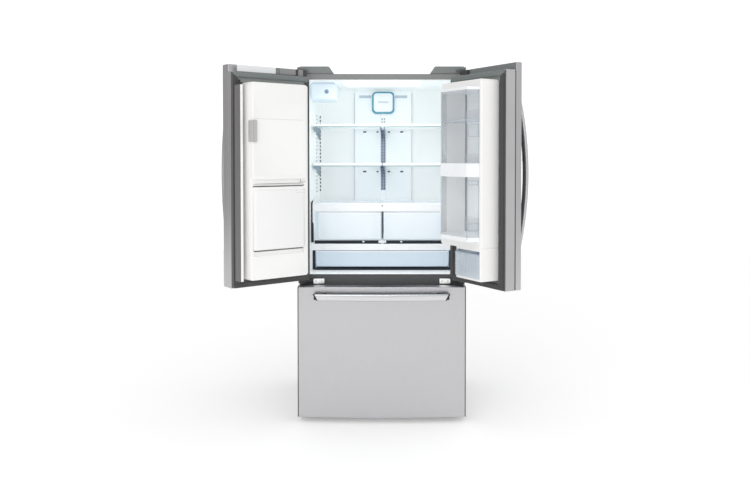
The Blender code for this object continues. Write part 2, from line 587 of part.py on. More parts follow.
cp_out = [(0.062, -0.048), (0.062, 0.086), (0.080, 0.140), (0.286, 0.140), (0.354, 0.086), (0.354, -0.048)]
cp_in = [(0.065, -0.060), (0.065, 0.0855), (0.0822, 0.137), (0.285, 0.137), (0.351, 0.0845), (0.351, -0.060)]
dc = prism("right_door_compartment", cp_out, "z", 0.935, 1.630, "clear", RIGHT)
cut(dc, "DIFFERENCE", RIGHT, P(cp_in, "z", 0.941, 1.252), P(cp_in, "z", 1.258, 1.478), P(cp_in, "z", 1.484, 1.627))

lb_o = [(0.0600, 0.0003), (0.0600, 0.096), (0.2345, 0.096), (0.2345, 0.0736), (0.3322, 0.0016), (0.3322, 0.0003)]
lb_i = [(0.0630, 0.0033), (0.0630, 0.093), (0.2315, 0.093), (0.2315, 0.0720), (0.3230, 0.0046), (0.3230, 0.0033)]
tub("right_lower_bin", lb_o, lb_i, 0.7683, 0.880, 0.003, "clear", RIGHT)

# ---- right door, outer panel
op = prism("right_outer_panel", skin_plan(0.002, HW, -0.0615), "z", DOOR_BOT, DOOR_TOP, "steel", OUTER)
cut(op, "DIFFERENCE", OUTER, P(cavity_plan(0.002, HW, -0.0615), "z", 0.7272, 1.6990),
    P(cavity_plan(0.002, 0.352, -0.0615), "z", DOOR_BOT + SKIN, 0.7400))
cut(op, "DIFFERENCE", OUTER,
    B(0.352, 0.43, -0.12, 0.0, 1.7005, 1.80), B(0.352, 0.43, -0.12, 0.0, 0.60, 0.7255),
    C((HX, HY), "z", 0.0065, 0.60, 0.745, 16), C((HX, HY), "z", 0.0065, 1.684, 1.80, 16))
ring("right_outer_gasket", (0.008, 0.378, 0.732, 1.694), (0.026, 0.374 - 0.012, 0.750, 1.676), -0.0615 + G, -0.0531, "gasket", OUTER)
door_handle("right_door_handle", 1, OUTER, True)
box("latch_button", 0.0300, 0.0460, -0.1560, -0.1465, 1.295, 1.325, "black", OUTER, 0.0015)

# ================================================================ freezer drawer
arc = front_arc(-HW + 0.005, HW - 0.005, 16)
dplan = [(-HW, -0.016), (-HW, arc[0][1] + 0.005)] + arc + [(HW, arc[-1][1] + 0.005), (HW, -0.016)]
df = prism("freezer_drawer_front", dplan, "z", DRAWER_Z0, DRAWER_Z1, "steel", FREEZE)
cut(df, "UNION", FREEZE, B(-0.345, 0.345, -0.020, 0.016, 0.118, 0.628))
arc = front_arc(-HW + 0.007, HW - 0.007, 16, SKIN)
cut(df, "DIFFERENCE", FREEZE,
    P([(-HW + SKIN, -0.0175), (-HW + SKIN, arc[0][1] + 0.005)] + arc + [(HW - SKIN, arc[-1][1] + 0.005), (HW - SKIN, -0.0175)],
      "z", DRAWER_Z0 + SKIN, DRAWER_Z1 - SKIN),
    B(-0.3435, 0.3435, -0.030, 0.0145, 0.1195, 0.6265), C((0.0, -0.050), "z", 0.008, 0.0, 0.05, 12))
ring("freezer_gasket", (-0.408, 0.408, 0.066, 0.672), (-0.386, 0.386, 0.086, 0.652), -0.016 + G, -0.0015, "gasket", FREEZE)

nseg = 20
outer, inner = [], []
for k in range(nseg + 1):
    x = -0.323 + 0.646 * k / nseg
    outer.append((x, -0.152 - 0.016 * (1 - (x / 0.323) ** 2)))
for k in range(nseg + 1):
    x = -0.300 + 0.600 * k / nseg
    inner.append((x, -0.136 - 0.016 * (1 - (x / 0.323) ** 2)))
yd = front_y(0.30) - 0.0003
ye = front_y(0.335) - 0.0003
hp = [(-0.330, ye - 0.0006)] + outer + [(0.330, ye - 0.0006), (0.304, yd - 0.0002)] + inner[::-1] + [(-0.304, yd - 0.0002)]
prism("freezer_handle", hp, "z", 0.616, 0.650, "steel", FREEZE)

drawer("freezer_basket", -0.335, 0.335, 0.0163, 0.400, 0.130, 0.520, 0.0, 0.004, FREEZE, "white")
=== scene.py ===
import bpy
import bmesh
import json
import math
from mathutils import Matrix, Vector


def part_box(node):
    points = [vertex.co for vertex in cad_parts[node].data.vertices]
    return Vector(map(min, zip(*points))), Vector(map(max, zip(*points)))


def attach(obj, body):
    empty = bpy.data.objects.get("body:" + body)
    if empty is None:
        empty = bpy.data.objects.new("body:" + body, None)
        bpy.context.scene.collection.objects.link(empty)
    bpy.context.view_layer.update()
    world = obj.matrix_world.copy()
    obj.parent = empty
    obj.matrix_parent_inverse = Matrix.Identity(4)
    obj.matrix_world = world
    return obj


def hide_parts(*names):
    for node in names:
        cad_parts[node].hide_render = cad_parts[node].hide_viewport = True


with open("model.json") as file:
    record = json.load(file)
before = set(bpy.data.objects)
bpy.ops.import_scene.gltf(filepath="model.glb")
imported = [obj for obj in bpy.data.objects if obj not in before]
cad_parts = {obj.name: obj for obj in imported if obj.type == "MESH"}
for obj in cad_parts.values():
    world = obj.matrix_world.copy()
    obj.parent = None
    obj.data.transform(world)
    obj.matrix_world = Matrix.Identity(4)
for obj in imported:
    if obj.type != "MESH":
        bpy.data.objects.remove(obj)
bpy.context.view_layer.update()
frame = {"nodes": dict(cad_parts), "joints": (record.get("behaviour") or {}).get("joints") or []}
JOINTS = {j["name"]: j for j in frame["joints"]}

# ------------------------------------------------------------------ frames
case_lo, case_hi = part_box("outer_case")
front_lo, front_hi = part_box("front_frame")
OX = (case_lo.x + case_hi.x) / 2
OY = front_lo.y
HX, HY = 0.402, -0.075
HW = 0.416
FRONT_EDGE, BOW = -0.090, 0.018
M0 = Matrix.Translation((OX, OY, 0))


def hung(pos, deg, base):
    return Matrix.Translation(Vector((pos[0], pos[1], 0))) @ Matrix.Rotation(math.radians(deg), 4, "Z") @ Matrix.Translation(
        Vector((-base[0], -base[1], 0)))


AL = JOINTS["left_door_hinge"]["range_deg"][0]
AR = -JOINTS["right_door_hinge"]["range_deg"][0]
ML = hung(JOINTS["left_door_hinge"]["pos_m"], AL, (-HX, HY))
MR = hung(JOINTS["right_door_hinge"]["pos_m"], AR, (HX, HY))
MM = hung(JOINTS["mullion_hinge"]["pos_m"], AL + 90, (-0.015, 0.013))
FLIP = Matrix.Scale(-1, 4, Vector((1, 0, 0)))


def front_y(x):
    return FRONT_EDGE - BOW * (1.0 - (x / HW) ** 2)


# ------------------------------------------------------------------ materials
def nodes_of(m):
    m.use_nodes = True
    nt = m.node_tree
    return nt, nt.nodes["Principled BSDF"]


def ramp(nt, fac, stops):
    r = nt.nodes.new("ShaderNodeValToRGB")
    while len(r.color_ramp.elements) < len(stops):
        r.color_ramp.elements.new(0.5)
    for e, (p, c) in zip(r.color_ramp.elements, stops):
        e.position = p
        e.color = (c[0], c[1], c[2], 1)
    nt.links.new(fac, r.inputs["Fac"])
    return r.outputs["Color"]


def noise(nt, scale, detail=3.0, stretch=(1, 1, 1), rough=0.5, rot=(0, 0, 0)):
    tc = nt.nodes.new("ShaderNodeTexCoord")
    mp = nt.nodes.new("ShaderNodeMapping")
    mp.inputs["Scale"].default_value = stretch
    mp.inputs["Rotation"].default_value = rot
    nz = nt.nodes.new("ShaderNodeTexNoise")
    nz.inputs["Scale"].default_value = scale
    nz.inputs["Detail"].default_value = detail
    nz.inputs["Roughness"].default_value = rough
    nt.links.new(tc.outputs["Object"], mp.inputs["Vector"])
    nt.links.new(mp.outputs["Vector"], nz.inputs["Vector"])
    return nz.outputs["Fac"]


def bump(nt, b, h, strength, dist):
    bp = nt.nodes.new("ShaderNodeBump")
    bp.inputs["Strength"].default_value = strength
    bp.inputs["Distance"].default_value = dist
    nt.links.new(h, bp.inputs["Height"])
    nt.links.new(bp.outputs["Normal"], b.inputs["Normal"])


def rough_range(nt, b, fac, lo, hi):
    mr = nt.nodes.new("ShaderNodeMapRange")
    mr.inputs["From Min"].default_value = 0.3
    mr.inputs["From Max"].default_value = 0.7
    mr.inputs["To Min"].default_value = lo
    mr.inputs["To Max"].default_value = hi
    nt.links.new(fac, mr.inputs["Value"])
    nt.links.new(mr.outputs["Result"], b.inputs["Roughness"])


def mat_brushed(name, c, lo=0.26, hi=0.36, stretch=(260, 260, 5), var=0.02, aniso=0.55):
    m = bpy.data.materials.new(name)
    nt, b = nodes_of(m)
    n1 = noise(nt, 3.0, 4.0, stretch, 0.65)
    n2 = noise(nt, 1.2, 2.0, (1, 1, 1))
    a = nt.nodes.new("ShaderNodeMix")
    a.data_type = "FLOAT"
    a.inputs[0].default_value = 0.25
    nt.links.new(n1, a.inputs[2])
    nt.links.new(n2, a.inputs[3])
    col = ramp(nt, a.outputs[0], [(0.35, [x * (1 - var * 2) for x in c]), (0.65, [min(1, x * (1 + var)) for x in c])])
    nt.links.new(col, b.inputs["Base Color"])
    b.inputs["Metallic"].default_value = 1.0
    b.inputs["Anisotropic"].default_value = aniso
    rough_range(nt, b, n1, lo, hi)
    bump(nt, b, n1, 0.10, 0.0002)
    return m


def mat_plastic(name, c, lo=0.3, hi=0.42, grain=900.0, strength=0.08, var=0.015, spec=0.5, coat=0.0, sss=0.0, emit=None,
                estr=0.0, dist=0.0003):
    m = bpy.data.materials.new(name)
    nt, b = nodes_of(m)
    n1 = noise(nt, grain, 3.0)
    n2 = noise(nt, 5.0, 3.0)
    col = ramp(nt, n2, [(0.35, [x * (1 - var) for x in c]), (0.65, [min(1, x * (1 + var)) for x in c])])
    nt.links.new(col, b.inputs["Base Color"])
    b.inputs["Specular IOR Level"].default_value = spec
    b.inputs["Coat Weight"].default_value = coat
    b.inputs["Coat Roughness"].default_value = 0.15
    if sss:
        b.inputs["Subsurface Weight"].default_value = sss
        b.inputs["Subsurface Radius"].default_value = (0.01, 0.01, 0.01)
    rough_range(nt, b, n2, lo, hi)
    bump(nt, b, n1, strength, dist)
    if emit:
        b.inputs["Emission Color"].default_value = (emit[0], emit[1], emit[2], 1)
        b.inputs["Emission Strength"].default_value = estr
    return m


def mat_clear(name, c, alpha, rough=0.06, emit=None, estr=0.0, ior=1.5):
    m = bpy.data.materials.new(name)
    nt, b = nodes_of(m)
    n2 = noise(nt, 6.0, 2.0)
    col = ramp(nt, n2, [(0.3, [x * 0.985 for x in c]), (0.7, c)])
    nt.links.new(col, b.inputs["Base Color"])
    b.inputs["Alpha"].default_value = alpha
    b.inputs["IOR"].default_value = ior
    rough_range(nt, b, n2, rough, rough + 0.04)
    bump(nt, b, n2, 0.03, 0.0006)
    if emit:
        b.inputs["Emission Color"].default_value = (emit[0], emit[1], emit[2], 1)
        b.inputs["Emission Strength"].default_value = estr
    m.surface_render_method = "BLENDED"
    return m


def mat_paint(name, c, lo=0.42, hi=0.55, grain=1400.0, strength=0.25, dist=0.0003, metal=0.0):
    m = mat_plastic(name, c, lo, hi, grain, strength, 0.03, 0.45, 0.0, 0.0, None, 0.0, dist)
    m.node_tree.nodes["Principled BSDF"].inputs["Metallic"].default_value = metal
    return m


STEEL = mat_brushed("brushed_stainless", (0.565, 0.560, 0.570), 0.27, 0.37)
STEEL_H = mat_brushed("brushed_stainless_handle", (0.68, 0.68, 0.69), 0.20, 0.28, (260, 260, 6))
STEEL_FH = mat_brushed("brushed_stainless_rail", (0.67, 0.67, 0.68), 0.20, 0.28, (6, 260, 260))
EDGE = mat_paint("door_edge_grey", (0.46, 0.455, 0.46), 0.38, 0.48, 900.0, 0.10)
CASE = mat_paint("case_paint_grey", (0.19, 0.20, 0.20), 0.45, 0.6, 700.0, 0.35, 0.0006)
FRAME = mat_paint("frame_paint_grey", (0.088, 0.092, 0.094), 0.40, 0.52, 900.0, 0.12)
HCOV = mat_plastic("hinge_cover_grey", (0.225, 0.250, 0.245), 0.42, 0.55, 900.0, 0.15)
DARK = mat_plastic("dark_grey_plastic", (0.055, 0.056, 0.058), 0.42, 0.55, 900.0, 0.15)
FLANGE = mat_plastic("door_flange_grey", (0.110, 0.108, 0.108), 0.42, 0.55, 900.0, 0.12)
MULLM = mat_paint("mullion_grey", (0.165, 0.160, 0.163), 0.38, 0.5, 900.0, 0.10)
RUBBER = mat_plastic("gasket_rubber", (0.070, 0.070, 0.071), 0.6, 0.75, 1600.0, 0.3, 0.04, 0.35)
# painted shade: near-black colour for strips and sheets that stand in for shaded gaps, wells and slot openings
GAP_SHADE = mat_plastic("painted_gap_shade", (0.010, 0.014, 0.024), 0.5, 0.65, 800.0, 0.15)
BLACKP = mat_plastic("black_plastic", (0.018, 0.018, 0.02), 0.35, 0.5, 1000.0, 0.2)
# painted glow: bluish emission on the liner white, standing in for the light inside the cabinet
LINER = mat_plastic("liner_white", (0.875, 0.895, 0.895), 0.28, 0.38, 160.0, 0.03, 0.008, 0.5, 0.0, 0.0, (0.95, 0.975, 0.98), 0.15)
# painted glow: faint emission on the door liner white
DOORW = mat_plastic("door_liner_white", (0.93, 0.925, 0.915), 0.28, 0.38, 160.0, 0.03, 0.008, 0.5, 0.0, 0.0, (1.0, 0.99, 0.98), 0.02)
# painted glow: emission on the white trim
TRIMW = mat_plastic("trim_white", (0.92, 0.94, 0.955), 0.25, 0.35, 500.0, 0.04, 0.008, 0.5, 0.0, 0.0, (0.92, 0.96, 1.0), 0.04)
# painted glow: bluish emission on the duct panel white
DUCTW = mat_plastic("duct_panel_white", (0.87, 0.90, 0.91), 0.30, 0.40, 260.0, 0.04, 0.008, 0.5, 0.0, 0.0, (0.86, 0.95, 1.0), 0.14)
SEAM = mat_plastic("seam_grey", (0.45, 0.50, 0.54), 0.5, 0.6, 900.0, 0.1)
SLOT = mat_plastic("slot_dark", (0.055, 0.065, 0.075), 0.5, 0.6, 900.0, 0.1)
TRACK = mat_paint("ladder_track_grey", (0.36, 0.38, 0.50), 0.35, 0.45, 900.0, 0.08)
BRACK = mat_paint("bracket_blue_grey", (0.20, 0.29, 0.37), 0.35, 0.45, 900.0, 0.08)
CYAN = mat_plastic("cover_ring_cyan", (0.07, 0.34, 0.46), 0.25, 0.35, 900.0, 0.05)
# painted glow: emission on the water filter cover
FILTB = mat_plastic("filter_cover_blue", (0.80, 0.89, 0.95), 0.28, 0.38, 300.0, 0.04, 0.008, 0.5, 0.0, 0.0, (0.60, 0.82, 1.0), 0.10)
KNOB = mat_plastic("knob_blue_grey", (0.22, 0.34, 0.46), 0.3, 0.4, 900.0, 0.08)
LAMP = mat_plastic("lamp_diffuser", (0.95, 0.97, 1.0), 0.3, 0.4, 500.0, 0.05, 0.01, 0.5, 0.0, 0.0, (0.90, 0.95, 1.0), 0.55)
GLASSP = mat_clear("shelf_glass", (0.72, 0.88, 0.86), 0.20, 0.03)
GEDGE = mat_clear("glass_edge_green", (0.30, 0.47, 0.46), 0.90, 0.12)
# painted glow: emission on the clear bin blue
CLEARB = mat_clear("clear_bin_blue", (0.78, 0.84, 0.90), 0.32, 0.05, (0.85, 0.93, 1.0), 0.10)
CLEARC = mat_clear("compartment_clear", (0.86, 0.91, 0.95), 0.15, 0.05)
# painted glow: door-liner-like white with added emission, standing in for bright light behind the clear compartment
# covers
INNERW = mat_plastic("inner_panel_white", (0.87, 0.885, 0.895), 0.3, 0.4, 160.0, 0.03, 0.008, 0.5, 0.0, 0.0, (0.92, 0.97, 1.0), 0.14)
NICHEW = mat_plastic("bin_front_white", (0.92, 0.92, 0.915), 0.28, 0.38, 160.0, 0.03, 0.008, 0.5)
CLEARE = mat_clear("clear_rim", (0.58, 0.66, 0.76), 0.75, 0.10)
# painted glow: emission on the frosted crisper plastic
CRISP = mat_clear("crisper_frost", (0.86, 0.90, 0.93), 0.62, 0.18, (0.84, 0.93, 1.0), 0.17)
CRISPE = mat_clear("crisper_edge", (0.48, 0.70, 0.84), 0.48, 0.20)
# painted glow: emission on the pantry drawer blue
PANTRY = mat_clear("pantry_blue", (0.72, 0.82, 0.90), 0.70, 0.10, (0.72, 0.86, 1.0), 0.10)
CHROME = mat_brushed("bright_plated", (0.82, 0.82, 0.82), 0.10, 0.18, (20, 20, 20), 0.02, 0.0)
ZINC = mat_brushed("zinc_steel", (0.50, 0.51, 0.52), 0.38, 0.55, (12, 12, 12), 0.08, 0.0)
ALU = mat_brushed("fin_aluminium", (0.72, 0.73, 0.74), 0.28, 0.4, (60, 60, 4), 0.03, 0.3)
LATCHG = mat_plastic("latch_grey", (0.50, 0.495, 0.49), 0.35, 0.45, 900.0, 0.1)
# painted glow: emission on the light door cap
CAPL = mat_plastic("door_cap_light", (0.74, 0.75, 0.76), 0.30, 0.42, 700.0, 0.08, 0.008, 0.5, 0.0, 0.0, (1.0, 1.0, 1.0), 0.12)
CAPM = mat_plastic("door_cap_mid", (0.30, 0.30, 0.30), 0.40, 0.52, 900.0, 0.1)
TOPCAP = mat_plastic("door_cap_grey", (0.215, 0.235, 0.235), 0.40, 0.5, 900.0, 0.12)
# painted highlight: lighter top copy of the door flange grey, standing in for light falling on the top of each door
# frame
FLANGE_TOP_LIT = mat_plastic("flange_top_painted_highlight", (0.25, 0.275, 0.27), 0.42, 0.55, 900.0, 0.12)
# painted highlight: lighter top copy of the gasket rubber, standing in for light falling on the top of the fridge door
# seals
SEAL_TOP_LIT = mat_plastic("seal_top_painted_highlight", (0.19, 0.215, 0.21), 0.5, 0.65, 1400.0, 0.25)
# painted highlight: lighter copy of the frame paint, standing in for light falling on the strip above the fridge
# opening
FRAME_TOP_LIT = mat_paint("frame_top_painted_highlight", (0.26, 0.265, 0.265), 0.40, 0.52, 900.0, 0.12)
SEAML = mat_plastic("seam_light", (0.70, 0.70, 0.69), 0.5, 0.6, 900.0, 0.1)
FOAM = mat_plastic("foam", (0.78, 0.70, 0.50), 0.85, 0.95, 300.0, 0.8, 0.06, 0.2)


# ------------------------------------------------------------------ mesh helpers
def finish_mesh(name, bm, mat, body, M, bevel=0.0, seg=3, angle=35, slot=None, reps=(), solid=0.0, flip=False, above=None):
    if flip:
        bmesh.ops.transform(bm, matrix=FLIP, verts=bm.verts)
        bmesh.ops.reverse_faces(bm, faces=bm.faces)
    bmesh.ops.remove_doubles(bm, verts=bm.verts, dist=1e-6)
    bmesh.ops.recalc_face_normals(bm, faces=bm.faces)
    me = bpy.data.meshes.new(name)
    bm.to_mesh(me)
    bm.free()
    me.shade_smooth()
    me.set_sharp_from_angle(angle=math.radians(angle))
    o = bpy.data.objects.new(name, me)
    bpy.context.collection.objects.link(o)
    o.matrix_world = M
    mats = mat if isinstance(mat, (list, tuple)) else [mat]
    for k in mats:
        me.materials.append(k)
    # faces above the given height take the second material; used for the painted highlights on the tops of door flanges
    # and seals
    if above is not None:
        for q in me.polygons:
            q.material_index = 1 if q.center.z > above else 0
    if solid:
        s = o.modifiers.new("wall", "SOLIDIFY")
        s.thickness = solid
        s.offset = -1.0
    if bevel:
        b = o.modifiers.new("edge", "BEVEL")
        b.width = bevel
        b.segments = seg
        b.limit_method = "ANGLE"
        b.angle_limit = math.radians(32)
        b.use_clamp_overlap = True
        b.harden_normals = True
    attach(o, body)
    if reps:
        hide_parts(*reps)
    return o


def add_prism(bm, pts, axis, a0, a1):
    def at(p, a):
        return (p[0], p[1], a) if axis == "z" else ((p[0], a, p[1]) if axis == "y" else (a, p[0], p[1]))
    lo = [bm.verts.new(at(p, a0)) for p in pts]
    hi = [bm.verts.new(at(p, a1)) for p in pts]
    n = len(pts)
    bm.faces.new(lo[::-1])
    bm.faces.new(hi)
    for i in range(n):
        j = (i + 1) % n
        bm.faces.new((lo[i], lo[j], hi[j], hi[i]))


def fillet(pts, r, n=4):
    out = []
    m = len(pts)
    for i in range(m):
        rr = r[i] if isinstance(r, (list, tuple)) else r
        p = Vector(pts[i])
        a = Vector(pts[i - 1]) - p
        b = Vector(pts[(i + 1) % m]) - p
        if rr <= 0 or a.length < 1e-6 or b.length < 1e-6:
            out.append(tuple(p))
            continue
        rr = min(rr, 0.49 * a.length, 0.49 * b.length)
        a.normalize()
        b.normalize()
        ang = a.angle(b)
        if ang > math.radians(178):
            out.append(tuple(p))
            continue
        d = rr / math.tan(ang / 2)
        c = p + (a + b).normalized() * (rr / math.sin(ang / 2))
        s = p + a * d - c
        e = p + b * d - c
        sw = s.angle(e)
        for k in range(n + 1):
            t = k / n
            out.append(tuple(c + (s * math.sin((1 - t) * sw) + e * math.sin(t * sw)) / math.sin(sw)))
    return out


def rect(x0, x1, y0, y1):
    return [(x0, y0), (x1, y0), (x1, y1), (x0, y1)]


def prism(name, pts, axis, a0, a1, mat, body, M, bevel=0.0, **k):
    bm = bmesh.new()
    add_prism(bm, pts, axis, a0, a1)
    return finish_mesh(name, bm, mat, body, M, bevel, **k)


def add_box(bm, x0, x1, y0, y1, z0, z1):
    add_prism(bm, rect(x0, x1, y0, y1), "z", z0, z1)


def boxes(name, blist, mat, body, M, bevel=0.0, **k):
    bm = bmesh.new()
    for b in blist:
        add_box(bm, *b)
    return finish_mesh(name, bm, mat, body, M, bevel, **k)


def add_loft(bm, rings, cap0=False, cap1=False, close=True):
    vs = [[bm.verts.new(p) for p in r] for r in rings]
    n = len(vs[0])
    for a, b in zip(vs[:-1], vs[1:]):
        for i in range(n if close else n - 1):
            j = (i + 1) % n
            bm.faces.new((a[i], a[j], b[j], b[i]))
    if cap0:
        bm.faces.new(vs[0][::-1])
    if cap1:
        bm.faces.new(vs[-1])
    return vs


def ring_xz(x0, x1, z0, z1, r, y, n=5):
    return [(p[0], y, p[1]) for p in fillet(rect(x0, x1, z0, z1), r, n)]


def ring_xy(pts, r, z, n=4):
    return [(p[0], p[1], z) for p in fillet(pts, r, n)]


def add_tube(bm, path, r, n=10, cap=True):
    """Round tube along a list of points."""
    path = [Vector(p) for p in path]
    rings = []
    up = None
    for i, p in enumerate(path):
        t = (path[min(i + 1, len(path) - 1)] - path[max(i - 1, 0)]).normalized()
        if up is None:
            up = Vector((0, 0, 1)) if abs(t.z) < 0.9 else Vector((1, 0, 0))
        u = t.cross(up).normalized()
        v = u.cross(t).normalized()
        up = v
        rings.append([tuple(p + u * r * math.cos(2 * math.pi * k / n) + v * r * math.sin(2 * math.pi * k / n)) for k in range(n)])
    add_loft(bm, rings, cap, cap)


def add_disc_solid(bm, c, axis, prof, n=24):
    """Turned shape: prof is a list of (offset along axis, radius)."""
    rings = []
    for t, r in prof:
        ring = []
        for k in range(n):
            u, v = r * math.cos(2 * math.pi * k / n), r * math.sin(2 * math.pi * k / n)
            if axis == "y":
                ring.append((c[0] + u, c[1] + t, c[2] + v))
            elif axis == "z":
                ring.append((c[0] + u, c[1] + v, c[2] + t))
            else:
                ring.append((c[0] + t, c[1] + u, c[2] + v))
        rings.append(ring)
    add_loft(bm, rings, True, True)


def carve(o, *fills, op="DIFFERENCE"):
    """Boolean shapes into o and keep only the result."""
    temps = []
    for f in fills:
        bm = bmesh.new()
        f(bm)
        bmesh.ops.recalc_face_normals(bm, faces=bm.faces)
        me = bpy.data.meshes.new("t")
        bm.to_mesh(me)
        bm.free()
        t = bpy.data.objects.new("t", me)
        bpy.context.collection.objects.link(t)
        t.matrix_world = o.matrix_world.copy()
        m = o.modifiers.new("cut", "BOOLEAN")
        m.operation = op
        m.solver = "EXACT"
        m.object = t
        temps.append(t)
    keep = [m for m in o.modifiers if m.type != "BOOLEAN"]
    state = [(m, m.show_viewport) for m in keep]
    for m in keep:
        m.show_viewport = False
    bpy.context.view_layer.update()
    dg = bpy.context.evaluated_depsgraph_get()
    new = bpy.data.meshes.new_from_object(o.evaluated_get(dg))
    for m in [m for m in o.modifiers if m.type == "BOOLEAN"]:
        o.modifiers.remove(m)
    for m, s in state:
        m.show_viewport = s
    old = o.data
    new.name = old.name + "_cut"
    o.data = new
    new.shade_smooth()
    new.set_sharp_from_angle(angle=math.radians(35))
    for t in temps:
        me = t.data
        bpy.data.objects.remove(t, do_unlink=True)
        bpy.data.meshes.remove(me)
    return o


def panel(name, xs, zs, skip, yf, yb, mat, body, M, bevel=0.004, **k):
    """Door panel built as a grid in front view, so it can have notches and openings, then given its thickness."""
    bm = bmesh.new()
    g = [[bm.verts.new((x, yf(x), z)) for z in zs] for x in xs]
    for i in range(len(xs) - 1):
        for j in range(len(zs) - 1):
            xm, zm = (xs[i] + xs[i + 1]) / 2, (zs[j] + zs[j + 1]) / 2
            if skip(xm, zm):
                continue
            bm.faces.new((g[i][j], g[i + 1][j], g[i + 1][j + 1], g[i][j + 1]))
    loose = [v for v in bm.verts if not v.link_faces]
    bmesh.ops.delete(bm, geom=loose, context="VERTS")
    r = bmesh.ops.extrude_face_region(bm, geom=list(bm.faces))
    for v in r["geom"]:
        if isinstance(v, bmesh.types.BMVert):
            v.co.y = yb
    return finish_mesh(name, bm, mat, body, M, bevel, **k)


def frange(a, b, n):
    return [a + (b - a) * k / n for k in range(n + 1)]


# ================================================================== cabinet outside
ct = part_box("outer_case")[1].z
prof = fillet([(-HW, 0.020), (-HW, ct), (HW, ct), (HW, 0.020)], [0, 0.007, 0.007, 0], 5)
inn = fillet([(-HW + 0.002, 0.020), (-HW + 0.002, ct - 0.002), (HW - 0.002, ct - 0.002), (HW - 0.002, 0.020)],
             [0, 0.005, 0.005, 0], 5)
prism("case_wrapper", prof + inn[::-1], "y", 0.0042, 0.7068, CASE, "cabinet", M0, 0.0008, seg=2, slot="case_paint",
      reps=("outer_case",))

bm = bmesh.new()
for (z0, z1, iz0, iz1, iw) in ((0.6866, ct, 0.7245, 1.7035, 0.3805), (0.020, 0.6866, 0.0965, 0.6485, 0.3685)):
    A = ring_xz(-HW, HW, z0, z1, 0.0015, 0.0, 3)
    Bq = ring_xz(-iw, iw, iz0, iz1, 0.010, 0.0, 3)
    A1 = [(p[0], 0.004, p[2]) for p in A]
    B1 = [(p[0], 0.004, p[2]) for p in Bq]
    add_loft(bm, [A1, A, Bq, B1, A1])
finish_mesh("face_frame", bm, FRAME, "cabinet", M0, 0.0, slot="case_paint", reps=("front_frame",))

# painted highlight: the top strip is the same paint as the divider, drawn lighter for the light falling on it
boxes("frame_top_strip", [(-0.414, 0.414, -0.0007, 0.0004, 1.7050, 1.7302)], FRAME_TOP_LIT, "cabinet", M0, 0.0004, seg=2, slot="case_paint")
# heater seal strip on the divider
boxes("divider_strip", [(-0.375, 0.375, -0.0012, 0.0004, 0.690, 0.7135)], FRAME, "cabinet", M0, 0.0006, slot="case_paint")

# hinge covers
for s, side in ((-1, "left"), (1, "right")):
    bm = bmesh.new()
    pr = fillet([(0.4150, ct + 0.0004), (0.4150, 1.7700), (0.266, 1.7700), (0.240, ct + 0.0004)], [0, 0.008, 0.010, 0], 4)
    pr = [(s * x, z) for x, z in pr]
    add_prism(bm, pr, "y", 0.006, 0.135)
    o = finish_mesh("hinge_cap_" + side, bm, HCOV, "cabinet", M0, 0.003, slot="case_paint", reps=("hinge_cover_" + side,))
    bm = bmesh.new()
    pts = fillet([(0.3725, 0.012), (0.3725, -0.060), (0.386, -0.0925), (0.404, -0.0925), (0.4150, -0.080), (0.4150, 0.012)],
                 [0, 0.01, 0.012, 0.008, 0.01, 0], 4)
    add_prism(bm, [(s * x, y) for x, y in pts], "z", 1.7440, 1.7560)
    finish_mesh("hinge_cap_nose_" + side, bm, TOPCAP, "cabinet", M0, 0.003, slot="case_paint")
    bm = bmesh.new()
    add_disc_solid(bm, (s * 0.300, 0.070, 1.7697), "z", [(0, 0.006), (0.0006, 0.0058), (0.0007, 0.003), (0.0001, 0.0025)], 18)
    finish_mesh("hinge_cap_screw_" + side, bm, ZINC, "cabinet", M0, 0.0, slot="zinc_steel")
    # middle hinge: stepped bracket whose outer arm is coloured dark as painted shade, and a bright plated block
    bm = bmesh.new()
    pl = fillet([(0.288, -0.0004), (0.288, -0.014), (0.372, -0.022), (0.386, -0.068), (0.393, -0.083), (0.402, -0.086),
                 (0.411, -0.083), (0.4134, -0.070), (0.4134, -0.0004)], [0, 0.004, 0.006, 0.004, 0.004, 0.004, 0.004, 0.004, 0], 3)
    add_prism(bm, [(s * x, y) for x, y in pl], "z", 0.6925, 0.6984)
    add_box(bm, *sorted((s * 0.346, s * 0.4134)), -0.0036, -0.0004, 0.6810, 0.7050)
    add_disc_solid(bm, (s * HX, HY, 0.6935), "z", [(0, 0.0075), (0.007, 0.0075), (0.0075, 0.0046), (0.036, 0.0045)], 20)
    finish_mesh("middle_hinge_plate_" + side, bm, DARK, "cabinet", M0, 0.0007, seg=2, slot="dark_plastic",
                reps=("middle_hinge_" + side,))
    bm = bmesh.new()
    blk = fillet([(0.288, -0.0004), (0.288, -0.0165), (0.344, -0.0225), (0.344, -0.0004)], [0, 0.003, 0.003, 0], 3)
    add_prism(bm, [(s * x, y) for x, y in blk], "z", 0.6800, 0.7052)
    for xx in (0.301, 0.331):
        add_disc_solid(bm, (s * xx, -0.0172 - 0.107 * (xx - 0.288), 0.6925), "y", [(0, 0.0048), (-0.0014, 0.0044), (-0.0018, 0.003)], 14)
    finish_mesh("middle_hinge_block_" + side, bm, CHROME, "cabinet", M0, 0.0010, seg=2, slot="hinge_chrome")

